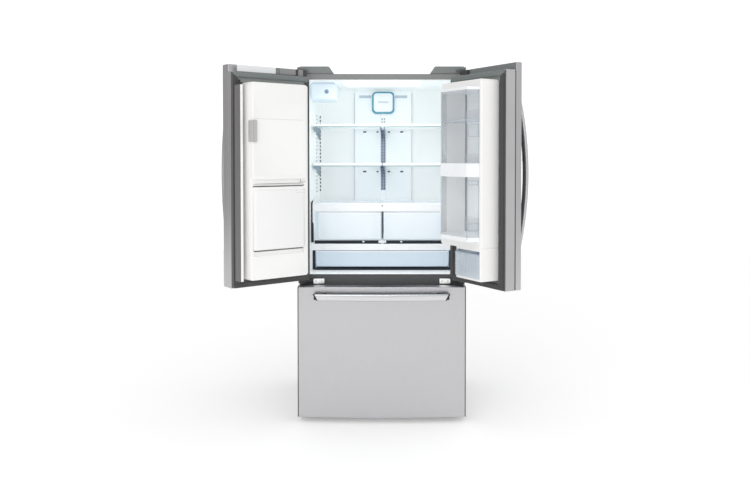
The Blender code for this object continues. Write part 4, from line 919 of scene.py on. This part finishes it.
bin_tub("left_bottle_bin", plan, 0.8925, 1.1795, 0.0028, NICHEW, "left_door", ML, DOORW, 0.006, 0.010, 0.014, slot="white_plastic",
        reps=("left_door_bin",), taper=0.99)
boxes("left_bottle_bin_groove", [(-0.318, -0.058, 0.0951, 0.0962, 1.1640, 1.1652), (-0.322, -0.270, 0.0951, 0.0964, 1.1500, 1.1514), (-0.2715, -0.270, 0.0951, 0.0964, 1.1500, 1.1660)], SEAML, "left_door", ML, 0.0, slot="white_plastic")


def handle(name, s, body, M, reps):
    """Long bowed bar: rounded steel section with a dark inner insert."""
    z0, z1, n = 0.872, 1.598, 44
    bm = bmesh.new()
    rings = []
    for k in range(n + 1):
        t = k / n
        z = z0 + (z1 - z0) * t
        yo = -0.1168 - 0.0555 * math.sin(math.pi * t) ** 0.75
        yi = min(yo + 0.0175, -0.1082)
        h = (yi - yo) / 2
        yc = (yo + yi) / 2
        xw = 0.0138
        ring = []
        m = 20
        for q in range(m):
            a = 2 * math.pi * q / m
            cx_, sy_ = math.cos(a), math.sin(a)
            ex = 0.62
            ring.append((s * (0.038 + xw * math.copysign(abs(cx_) ** ex, cx_)), yc + h * math.copysign(abs(sy_) ** ex, sy_), z))
        rings.append(ring)
    add_loft(bm, rings, True, True)
    finish_mesh(name, bm, STEEL_H, body, M, 0.0, slot="door_steel", reps=reps, angle=50)
    bm = bmesh.new()
    rings = []
    for k in range(2, n - 1):
        t = k / n
        z = z0 + (z1 - z0) * t
        yo = -0.1168 - 0.0555 * math.sin(math.pi * t) ** 0.75 + 0.0166
        if yo > -0.1090:
            continue
        y2 = min(yo + 0.0045, -0.1084)
        rings.append([(s * 0.0285, yo, z), (s * 0.0475, yo, z), (s * 0.0465, y2, z), (s * 0.0295, y2, z)])
    add_loft(bm, rings, True, True)
    return finish_mesh(name + "_insert", bm, DARK, body, M, 0.0, slot="dark_plastic", angle=50)


handle("left_pull", -1, "left_door", ML, ("left_door_handle",))

# mullion: folded bar with magnet face and end caps
bm = bmesh.new()
add_prism(bm, fillet([(-0.0266, 0.0036), (0.0266, 0.0036), (0.0266, 0.0188), (-0.0266, 0.0188)], [0.004, 0.002, 0.004, 0.006], 4), "z", 0.753, 1.641)
finish_mesh("mullion_body", bm, DOORW, "mullion", MM, 0.0, slot="dark_plastic", reps=("mullion_bar",), angle=50)
bm = bmesh.new()
add_prism(bm, fillet([(-0.0200, 0.0012), (0.0262, 0.0012), (0.0266, 0.0044), (-0.0266, 0.0044)], [0.003, 0.001, 0, 0], 4), "z", 0.753, 1.641)
finish_mesh("mullion_plate", bm, MULLM, "mullion", MM, 0.0, slot="dark_plastic", angle=50)
bm = bmesh.new()
for z0, z1 in ((0.7425, 0.7535), (1.6405, 1.6515)):
    add_prism(bm, fillet(rect(-0.0255, 0.0255, 0.0020, 0.0182), 0.006, 4), "z", z0, z1)
add_prism(bm, fillet(rect(-0.004, 0.012, 0.0045, 0.0155), 0.004, 4), "z", 1.6510, 1.6640)
finish_mesh("mullion_caps", bm, BLACKP, "mullion", MM, 0.0012, slot="dark_plastic")

# ================================================================== right door (inner frame)
bm = bmesh.new()
A = ring_xz(0.0025, 0.4155, 0.7125, 1.7075, 0.004, -0.0520, 3)
B_ = ring_xz(0.0025, 0.4155, 0.7125, 1.7075, 0.004, -0.0180, 3)
C_ = ring_xz(0.056, 0.360, 0.760, 1.660, 0.014, -0.0310, 3)
D_ = ring_xz(0.0617, 0.3543, 0.9347, 1.6303, 0.014, -0.0310, 3)
D2 = ring_xz(0.0617, 0.3543, 0.9347, 1.6303, 0.014, -0.0520, 3)
add_loft(bm, [A, B_, C_, D_, D2, A])
o = finish_mesh("right_frame_edge", bm, EDGE, "right_door", MR, 0.0, slot="door_steel", angle=40)
bm = bmesh.new()
A = ring_xz(0.0045, 0.4135, 0.7145, 1.7055, 0.004, -0.0312, 3)
B_ = ring_xz(0.0045, 0.4135, 0.7145, 1.7055, 0.004, -0.0132, 3)
C_ = ring_xz(0.048, 0.387, 0.755, 1.667, 0.018, -0.0128, 3)
D_ = ring_xz(0.048, 0.387, 0.755, 1.667, 0.018, -0.0312, 3)
add_loft(bm, [A, B_, C_, D_, A])
# faces above z 1.654 take the lighter top copy: painted highlight
finish_mesh("flange_right", bm, [FLANGE, FLANGE_TOP_LIT], "right_door", MR, 0.0, slot="dark_plastic", angle=40, above=1.654)
boxes("right_frame_lip", [(0.0025, 0.0058, -0.0696, -0.0515, 0.7125, 1.7075), (0.0056, 0.3500, -0.0696, -0.0515, 1.7042, 1.7075), (0.0056, 0.3500, -0.0696, -0.0515, 0.7125, 0.7158)], EDGE, "right_door", MR, 0.0008, seg=2, slot="door_steel")
boxes("right_frame_lugs", [(0.3865, 0.4155, -0.0893, -0.050, 0.7125, 0.7238), (0.3865, 0.4155, -0.0893, -0.050, 1.7018, 1.7078)], EDGE, "right_door",
      MR, 0.002, slot="door_steel")
seal("seal_right", (0.008, 0.411, 0.718, 1.702), (0.030, 0.390, 0.740, 1.682), -0.0128, -0.0022, "right_door", MR, False, ("right_frame_gasket",))

bm = bmesh.new()
R = [ring_xz(0.0500, 0.3660, 0.8990, 1.6650, 0.014, -0.0300), ring_xz(0.0500, 0.3660, 0.8990, 1.6650, 0.014, 0.0740),
     ring_xz(0.0510, 0.3650, 0.9000, 1.6640, 0.014, 0.0805), ring_xz(0.0540, 0.3620, 0.9030, 1.6610, 0.012, 0.0840),
     ring_xz(0.0570, 0.3590, 0.9060, 1.6580, 0.010, 0.0848),
     ring_xz(0.0620, 0.3540, 0.9350, 1.6300, 0.012, 0.0848), ring_xz(0.0619, 0.3541, 0.9349, 1.6301, 0.012, 0.0700),
     ring_xz(0.0618, 0.3542, 0.9348, 1.6302, 0.012, -0.0520), ring_xz(0.0500, 0.3660, 0.8990, 1.6650, 0.014, -0.0520)]
R.append(R[0])
add_loft(bm, R)
finish_mesh("right_inner_dike", bm, DOORW, "right_door", MR, 0.0, slot="white_liner", reps=("right_door_frame",), angle=50)
bm = bmesh.new()
pl = fillet([(0.0500, -0.030), (0.0500, 0.0845), (0.2350, 0.0845), (0.3450, 0.0045), (0.3450, -0.030)], [0, 0.008, 0.010, 0.006, 0], 4)
add_prism(bm, pl, "z", 0.7572, 0.9040)
lowd = finish_mesh("right_inner_lower", bm, DOORW, "right_door", MR, 0.0, slot="white_liner", angle=50)
carve(lowd, lambda bm: add_prism(bm, fillet([(0.0597, 0.0), (0.0597, 0.12), (0.235, 0.12), (0.235, 0.074), (0.334, 0.001), (0.334, 0.0)], [0.006, 0, 0, 0, 0, 0], 3),
                                 "z", 0.7685, 0.8915))
boxes("right_inner_fill", [(0.058, 0.362, -0.0518, -0.0290, 0.7600, 0.9340)], DOORW, "right_door", MR, 0.001, slot="white_liner")

# clear compartment covers with white bands and shelves inside
cp = [(0.0640, 0.060), (0.0640, 0.0870), (0.0805, 0.1395), (0.2855, 0.1395), (0.3525, 0.0870), (0.3525, 0.060)]
cr = [0, 0.006, 0.010, 0.010, 0.006, 0]


def cover(name, z0, z1, mat):
    bm = bmesh.new()
    q = fillet(cp, cr, 4)
    vs0 = [bm.verts.new((p[0], p[1], z0)) for p in q]
    vs1 = [bm.verts.new((p[0], p[1], z1)) for p in q]
    for i in range(len(q) - 1):
        bm.faces.new((vs0[i], vs0[i + 1], vs1[i + 1], vs1[i]))
    o = finish_mesh(name, bm, mat, "right_door", MR, 0.0, slot="clear_plastic", angle=50)
    m = o.modifiers.new("wall", "SOLIDIFY")
    m.thickness = 0.0022
    m.offset = -1.0
    return o


cov = cover("compartment_cover_upper", 1.288, 1.616, CLEARC)
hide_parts("right_door_compartment")
cover("compartment_cover_lower", 0.945, 1.225, CLEARC)


def band(name, z0, z1, mat, shrink=0.0):
    bm = bmesh.new()
    q = fillet([(0.0632, -0.046), (0.0632, 0.0872), (0.0800, 0.1399), (0.2860, 0.1399), (0.3532, 0.0872), (0.3532, -0.046)], [0.004] + cr[1:5] + [0.004], 4)
    add_prism(bm, q, "z", z0, z1)
    return finish_mesh(name, bm, mat, "right_door", MR, 0.0015, slot="white_plastic")


band("compartment_top_cap", 1.6160, 1.6296, TRIMW)
mid = band("compartment_mid_band", 1.2260, 1.2875, TRIMW)
carve(mid, lambda bm: add_prism(bm, fillet([(0.070, -0.040), (0.070, 0.086), (0.086, 0.1345), (0.282, 0.1345), (0.347, 0.086), (0.347, -0.040)], 0.004, 3), "z", 1.2340, 1.30))
low = band("compartment_floor", 0.9355, 0.9560, TRIMW)
carve(low, lambda bm: add_prism(bm, fillet([(0.070, -0.040), (0.070, 0.086), (0.086, 0.1345), (0.282, 0.1345), (0.347, 0.086), (0.347, -0.040)], 0.004, 3), "z", 0.9420, 1.0))
bm = bmesh.new()
q = fillet([(0.0665, -0.040), (0.0665, 0.0862), (0.0825, 0.1370), (0.2845, 0.1370), (0.3505, 0.0862), (0.3505, -0.040)], [0.004] + cr[1:5] + [0.004], 4)
add_prism(bm, q, "z", 1.4790, 1.4830)
finish_mesh("compartment_shelf", bm, CLEARE, "right_door", MR, 0.0005, seg=2, slot="clear_plastic")
for tag, z0, z1 in (("low", 0.958, 1.030), ("mid", 1.2340, 1.330), ("top", 1.4835, 1.540)):
    boxes("compartment_front_" + tag, [(0.068, 0.349, -0.0445, -0.0415, z0, z1)], CLEARC, "right_door", MR, 0.001, seg=2, slot="clear_plastic")
# thin moulded edges of the clear covers
bm = bmesh.new()
for z0, z1 in ((1.288, 1.616), (0.945, 1.225)):
    for x, y in ((0.0816, 0.1378), (0.2845, 0.1378), (0.0650, 0.0862), (0.3516, 0.0862)):
        add_tube(bm, [(x, y, z0), (x, y, (z0 + z1) / 2), (x, y, z1)], 0.0016, 8)
finish_mesh("compartment_corner_beads", bm, CLEARE, "right_door", MR, 0.0, slot="clear_plastic", angle=60)
# small latch frames on the free side of the covers
bm = bmesh.new()
for z0, z1 in ((1.406, 1.462), (0.985, 1.020), (1.190, 1.212)):
    for (u0, u1, w0, w1) in ((0.0, 1.0, z0, z0 + 0.003), (0.0, 1.0, z1 - 0.003, z1), (0.0, 0.06, z0, z1), (0.94, 1.0, z0, z1)):
        a = Vector((0.0645, 0.0885)).lerp(Vector((0.0795, 0.1360)), u0)
        b = Vector((0.0645, 0.0885)).lerp(Vector((0.0795, 0.1360)), u1)
        add_prism(bm, [(a.x, a.y), (b.x, b.y), (b.x - 0.0008, b.y + 0.0002), (a.x - 0.0008, a.y + 0.0002)], "z", w0, w1)
finish_mesh("compartment_catches", bm, SEAM, "right_door", MR, 0.0, slot="grey_plastic")
plan = [(0.0605, 0.0008), (0.0605, 0.0955), (0.2340, 0.0955), (0.2340, 0.0736), (0.3310, 0.0018), (0.3310, 0.0008)]
bm = bmesh.new()
q = fillet(plan, [0, 0.010, 0.006, 0.0, 0, 0], 4)
qi = fillet([(0.0630, 0.0033), (0.0630, 0.0930), (0.2315, 0.0930), (0.2315, 0.0722), (0.3230, 0.0046), (0.3230, 0.0033)], [0, 0.008, 0.005, 0.0, 0, 0], 4)
add_loft(bm, [[(p[0], p[1], 0.7690) for p in q], [(p[0], p[1], 0.8795) for p in q], [(p[0], p[1], 0.8795) for p in qi], [(p[0], p[1], 0.7718) for p in qi]], True, True)
finish_mesh("right_lower_tub", bm, CLEARB, "right_door", MR, 0.0, slot="clear_plastic", reps=("right_lower_bin",), angle=50)
bm = bmesh.new()
add_loft(bm, [[(p[0], p[1], 0.8740) for p in q], [(p[0], p[1], 0.8798) for p in q], [(p[0], p[1], 0.8798) for p in qi], [(p[0], p[1], 0.8740) for p in qi], [(p[0], p[1], 0.8740) for p in q]])
add_box(bm, 0.1490, 0.1515, 0.004, 0.0960, 0.7900, 0.8795)
add_box(bm, 0.0640, 0.2330, 0.0950, 0.0960, 0.8220, 0.8236)
finish_mesh("right_lower_tub_rim", bm, CLEARE, "right_door", MR, 0.0, slot="clear_plastic", angle=50)

# ---- right outer panel
XR = [0.002] + frange(0.02, 0.34, 12) + [0.352, 0.37, 0.39, 0.408, 0.416]
ZR = [0.712, 0.7255, 0.90, 1.20, 1.50, 1.7005, 1.742]
panel("right_steel_skin", XR, ZR, lambda x, z: x > 0.352 and (z > 1.7005 or z < 0.7255), front_y, -0.0762, STEEL, "right_outer_door", MR, 0.0030,
      slot="door_steel", reps=("right_outer_panel",))
bm = bmesh.new()
R = [ring_xz(0.0030, 0.4150, 0.7270, 1.6990, 0.003, -0.0765), ring_xz(0.0030, 0.4150, 0.7270, 1.6990, 0.003, -0.0701),
     ring_xz(0.0075, 0.4150, 0.7270, 1.6990, 0.006, -0.0700), ring_xz(0.0075, 0.4150, 0.7270, 1.6990, 0.006, -0.0625),
     ring_xz(0.0100, 0.4120, 0.7300, 1.6960, 0.006, -0.0617), ring_xz(0.040, 0.350, 0.770, 1.660, 0.020, -0.0617)]
add_loft(bm, R, True, True)
finish_mesh("right_outer_rim", bm, FLANGE, "right_outer_door", MR, 0.0, slot="dark_plastic", angle=40)
bm = bmesh.new()
R = [ring_xz(0.042, 0.348, 0.772, 1.658, 0.020, -0.0619), ring_xz(0.042, 0.348, 0.772, 1.658, 0.020, -0.0611), ring_xz(0.046, 0.344, 0.776, 1.654, 0.018, -0.0600)]
add_loft(bm, R, True, True)
finish_mesh("right_outer_backing", bm, INNERW, "right_outer_door", MR, 0.0, slot="white_liner", angle=40)
boxes("right_top_cap", [(0.0040, 0.3515, -0.0764, -0.0742, 1.7085, 1.7405)], TOPCAP, "right_outer_door", MR, 0.0006, seg=2, slot="dark_plastic")
bm = bmesh.new()
add_prism(bm, [(x, front_y(x) + 0.0015) for x in frange(0.3530, 0.4135, 5)] + [(0.4135, -0.0630), (0.3530, -0.0630)], "z", 1.7015, 1.7395)
finish_mesh("right_hinge_end_cap", bm, DARK, "right_outer_door", MR, 0.0015, seg=2, slot="dark_plastic")
seal("seal_right_outer", (0.008, 0.378, 0.732, 1.694), (0.026, 0.362, 0.750, 1.676), -0.0613, -0.0533, "right_outer_door", MR, False, ("right_outer_gasket",))
handle("right_pull", 1, "right_outer_door", MR, ("right_door_handle",))
bm = bmesh.new()
R = [ring_xz(0.0305, 0.0455, 1.2955, 1.3245, 0.003, -0.1558), ring_xz(0.0305, 0.0455, 1.2955, 1.3245, 0.003, -0.1485), ring_xz(0.0318, 0.0442, 1.2970, 1.3230, 0.0025, -0.1467)]
add_loft(bm, R, True, True)
finish_mesh("release_button_pad", bm, BLACKP, "release_button", MR, 0.0, slot="black_plastic", reps=("latch_button",), angle=40)

# ================================================================== freezer
XF = [-0.4125, -0.405] + frange(-0.38, 0.38, 24) + [0.405, 0.4125]
panel("freezer_steel_skin", XF, [0.028, 0.20, 0.40, 0.56, 0.6755], lambda x, z: False, front_y, -0.0165, STEEL, "freezer_drawer", M0, 0.0040,
      slot="door_steel", reps=("freezer_drawer_front",))
bm = bmesh.new()
R = [ring_xz(-0.406, 0.406, 0.040, 0.672, 0.010, -0.0166), ring_xz(-0.406, 0.406, 0.040, 0.672, 0.010, -0.0158),
     ring_xz(-0.350, 0.350, 0.112, 0.634, 0.016, -0.0156), ring_xz(-0.345, 0.345, 0.118, 0.628, 0.016, 0.0120), ring_xz(-0.341, 0.341, 0.122, 0.624, 0.016, 0.0156)]
add_loft(bm, R, True, True)
finish_mesh("freezer_inner_panel", bm, DOORW, "freezer_drawer", M0, 0.0, slot="white_liner", angle=50)
seal("seal_freezer", (-0.408, 0.408, 0.066, 0.672), (-0.386, 0.386, 0.086, 0.652), -0.0156, -0.0017, "freezer_drawer", M0, False, ("freezer_gasket",))

bm = bmesh.new()
for s in (-1, 1):
    add_prism(bm, [(s * 0.4127, front_y(0.4127) + 0.0006), (s * 0.4158, front_y(0.4158) + 0.0022), (s * 0.4158, -0.0172), (s * 0.4127, -0.0168)], "z", 0.0285, 0.6750)
finish_mesh("freezer_end_caps", bm, DARK, "freezer_drawer", M0, 0.0008, seg=2, slot="dark_plastic")
# freezer handle: bowed flat bar with slanted returns and dark inner faces; the bar's ends and the returns are black as
# painted shade for the gap behind them
bm = bmesh.new()
n = 40


def pull_ring(u):
    yo = -0.1515 - 0.0160 * (1 - u * u)
    th = 0.0085
    ring = fillet([(yo, 0.6165), (yo + 2 * th, 0.6175), (yo + 2 * th, 0.6485), (yo, 0.6495)], 0.0060, 4)
    return [(u * (0.3165 + (0.3350 - 0.3165) * (p[1] - 0.6165) / 0.033), p[0], p[1]) for p in ring]


add_loft(bm, [pull_ring(u) for u in frange(-0.976, 0.976, n)], True, True)
finish_mesh("freezer_pull", bm, STEEL_FH, "freezer_drawer", M0, 0.0, slot="door_steel", reps=("freezer_handle",), angle=50)
# painted shade: black end slices of the bar stand in for the shaded gap where it meets the drawer front
bm = bmesh.new()
add_loft(bm, [pull_ring(u) for u in (-1.0, -0.9765)], True, True)
add_loft(bm, [pull_ring(u) for u in (0.9765, 1.0)], True, True)
finish_mesh("freezer_pull_ends", bm, BLACKP, "freezer_drawer", M0, 0.0, slot="dark_plastic", angle=50)
# painted shade: black slanted returns stand in for the shade under the bar's ends
bm = bmesh.new()
for s in (-1, 1):
    xo, xi = 0.3245, 0.3050
    pts = [(0.3300, -0.1480), (0.3330, front_y(0.333) - 0.0006), (0.2700, front_y(0.270) - 0.0004), (0.2980, -0.1240), (0.3040, -0.1370)]
    add_prism(bm, [(s * px_, py_) for px_, py_ in pts], "z", 0.6200, 0.6475)
finish_mesh("freezer_pull_feet", bm, BLACKP, "freezer_drawer", M0, 0.0030, slot="dark_plastic")
bm = bmesh.new()
rings = []
for k in range(n + 1):
    x = -0.300 + 0.600 * k / n
    u = abs(x) / 0.3300
    yo = -0.1515 - 0.0160 * (1 - u * u) + 0.0162
    rings.append([(x, yo, 0.6215), (x, yo + 0.0018, 0.6215), (x, yo + 0.0018, 0.6380), (x, yo, 0.6380)])
add_loft(bm, rings, True, True)
finish_mesh("freezer_pull_insert", bm, DARK, "freezer_drawer", M0, 0.0, slot="dark_plastic")

plan = [(-0.334, 0.0170), (0.334, 0.0170), (0.334, 0.3990), (-0.334, 0.3990)]
fb = bin_tub("freezer_tub", plan, 0.1305, 0.5195, 0.0035, TRIMW, "freezer_drawer", M0, DOORW, 0.010, 0.012, 0.022, slot="white_plastic",
             reps=("freezer_basket",), taper=0.975)
bm = bmesh.new()
for s in (-1, 1):
    a, b = sorted((s * 0.3350, s * 0.3440))
    add_box(bm, a, b, 0.018, 0.405, 0.360, 0.392)
finish_mesh("freezer_rails", bm, ZINC, "freezer_drawer", M0, 0.0015, seg=2, slot="zinc_steel")

bm = bmesh.new()
w = 0.3655
R = [ring_xz(-0.3682, 0.3682, 0.0968, 0.6482, 0.012, 0.0005), ring_xz(-0.3682, 0.3682, 0.0968, 0.6482, 0.012, -0.0010),
     ring_xz(-w, w, 0.1000, 0.6450, 0.012, 0.0010), ring_xz(-w, w, 0.1000, 0.6450, 0.014, 0.424)]
add_loft(bm, R)
finish_mesh("freezer_liner_front", bm, LINER, "cabinet", M0, 0.0, slot="white_liner", reps=("freezer_liner",), angle=50)
boxes("freezer_liner_step", [(-w, w, 0.4245, 0.4275, 0.1000, 0.3255), (-w, w, 0.4245, 0.600, 0.3225, 0.3255), (-w - 0.002, -w, 0.424, 0.600, 0.3225, 0.645),
                             (w, w + 0.002, 0.424, 0.600, 0.3225, 0.645), (-w, w, 0.424, 0.600, 0.645, 0.6475), (-w, w, 0.600, 0.6025, 0.3225, 0.6475)],
      LINER, "cabinet", M0, 0.0, slot="white_liner")
dc = boxes("freezer_fan_cover", [(-0.3545, 0.3545, 0.5205, 0.5275, 0.3305, 0.6395)], TRIMW, "cabinet", M0, 0.0, slot="white_plastic", reps=("freezer_duct_cover",))
carve(dc, lambda bm: add_disc_solid(bm, (0, 0.50, 0.560), "y", [(0, 0.060), (0.05, 0.060)], 32),
      lambda bm: [add_prism(bm, fillet(rect(x - 0.020, x + 0.020, z, z + 0.008), 0.003, 3), "y", 0.50, 0.55) for x in (-0.28, -0.21, -0.14, 0.14, 0.21, 0.28) for z in (0.36, 0.38, 0.40)])
bm = bmesh.new()
for r in (0.014, 0.030, 0.046):
    add_tube(bm, [(r * math.cos(a), 0.5215, 0.560 + r * math.sin(a)) for a in frange(0, 2 * math.pi, 36)], 0.0012, 6)
for a in frange(0, 2 * math.pi, 6)[:-1]:
    add_tube(bm, [(0.010 * math.cos(a), 0.5215, 0.560 + 0.010 * math.sin(a)), (0.0615 * math.cos(a), 0.5215, 0.560 + 0.0615 * math.sin(a))], 0.0012, 6)
finish_mesh("freezer_fan_grille", bm, LATCHG, "cabinet", M0, 0.0, slot="grey_plastic")

# ================================================================== materials of carried-over frame nodes
KEEP = {"insulated_body": FOAM, "base_frame": ZINC, "compressor": BLACKP, "condenser": BLACKP, "evaporator": ALU, "top_hinge_left": ZINC,
        "top_hinge_right": ZINC, "leveling_leg_left": ZINC, "leveling_leg_right": ZINC, "rear_roller_left": BLACKP, "rear_roller_right": BLACKP,
        "condenser_fan": BLACKP, "evaporator_fan": LATCHG}
for nname, mt in KEEP.items():
    ob = frame["nodes"][nname]
    ob.data.materials.clear()
    ob.data.materials.append(mt)

# ================================================================== stage, lights, camera
bm = bmesh.new()
pts = [(-9, -9), (9, -9), (9, 7), (-9, 7)]
bm.faces.new([bm.verts.new((p[0], p[1], 0)) for p in pts])
me = bpy.data.meshes.new("floor")
bm.to_mesh(me)
bm.free()
floor = bpy.data.objects.new("floor", me)
bpy.context.collection.objects.link(floor)
fm = bpy.data.materials.new("floor_white")
nt, b = nodes_of(fm)
b.inputs["Base Color"].default_value = (0.96, 0.96, 0.96, 1)
b.inputs["Roughness"].default_value = 0.9
b.inputs["Specular IOR Level"].default_value = 0.1
b.inputs["Emission Color"].default_value = (1, 1, 1, 1)
b.inputs["Emission Strength"].default_value = 0.22
me.materials.append(fm)

w = bpy.data.worlds.new("studio")
bpy.context.scene.world = w
bpy.context.scene.view_settings.view_transform = "Standard"
w.use_nodes = True
wn = w.node_tree
bg = wn.nodes["Background"]
tc = wn.nodes.new("ShaderNodeTexCoord")
sx = wn.nodes.new("ShaderNodeSeparateXYZ")
wn.links.new(tc.outputs["Generated"], sx.inputs["Vector"])
mx = wn.nodes.new("ShaderNodeMapRange")
mx.inputs["From Min"].default_value = -1.0
mx.inputs["From Max"].default_value = 1.0
wn.links.new(sx.outputs["X"], mx.inputs["Value"])
side = ramp(wn, mx.outputs["Result"], [(0.0, (0.46, 0.455, 0.455)), (0.16, (0.58, 0.575, 0.575)), (0.34, (0.90, 0.90, 0.90)), (0.68, (0.90, 0.90, 0.90)),
                                       (0.86, (0.80, 0.795, 0.80)), (1.0, (0.74, 0.735, 0.74))])
mz = wn.nodes.new("ShaderNodeMapRange")
mz.inputs["From Min"].default_value = -1.0
mz.inputs["From Max"].default_value = 1.0
wn.links.new(sx.outputs["Z"], mz.inputs["Value"])
tall = ramp(wn, mz.outputs["Result"], [(0.30, (0.86, 0.86, 0.86)), (0.52, (0.97, 0.97, 0.97)), (0.75, (1.0, 1.0, 1.0))])
mm_ = wn.nodes.new("ShaderNodeMix")
mm_.data_type = "RGBA"
mm_.blend_type = "MULTIPLY"
mm_.inputs[0].default_value = 1.0
wn.links.new(side, mm_.inputs[6])
wn.links.new(tall, mm_.inputs[7])
wn.links.new(mm_.outputs[2], bg.inputs["Color"])
bg.inputs["Strength"].default_value = 1.0
bg2 = wn.nodes.new("ShaderNodeBackground")
bg2.inputs["Color"].default_value = (1, 1, 1, 1)
bg2.inputs["Strength"].default_value = 1.15
lp = wn.nodes.new("ShaderNodeLightPath")
ms = wn.nodes.new("ShaderNodeMixShader")
wn.links.new(lp.outputs["Is Camera Ray"], ms.inputs["Fac"])
wn.links.new(bg.outputs["Background"], ms.inputs[1])
wn.links.new(bg2.outputs["Background"], ms.inputs[2])
wn.links.new(ms.outputs["Shader"], wn.nodes["World Output"].inputs["Surface"])


def area(name, loc, target, size, power, color=(1, 1, 1), sy=None):
    ld = bpy.data.lights.new(name, "AREA")
    ld.energy = power
    ld.color = color
    ld.size = size
    if sy:
        ld.shape = "RECTANGLE"
        ld.size_y = sy
    o = bpy.data.objects.new(name, ld)
    bpy.context.collection.objects.link(o)
    o.location = loc
    o.rotation_euler = (Vector(target) - Vector(loc)).to_track_quat("-Z", "Y").to_euler()
    o.visible_camera = False
    return o


area("key", (-1.2, -4.6, 3.4), (0, 0, 0.9), 2.6, 40)
area("inside_top", (OX, OY + 0.13, 1.675), (OX, OY + 0.30, 0.9), 0.36, 0.60, (0.95, 0.97, 1.0), 0.14)
area("inside_mid", (OX, OY - 0.15, 1.45), (OX, OY + 0.45, 1.15), 0.5, 0.85, (0.94, 0.975, 1.0), 0.3)

cam = bpy.data.cameras.new("camera")
co = bpy.data.objects.new("camera", cam)
bpy.context.collection.objects.link(co)
co.location = (OX + 0.0532, OY - 3.9444, 1.3183)
co.rotation_euler = (math.radians(90 - 1.5264), 0, 0)
cam.sensor_width = 36.0
cam.lens = 784.97 / 750 * 36.0
cam.shift_x = (375 - 392.48) / 750
cam.shift_y = (177.33 - 240) / 750
cam.clip_end = 60
bpy.context.scene.camera = co
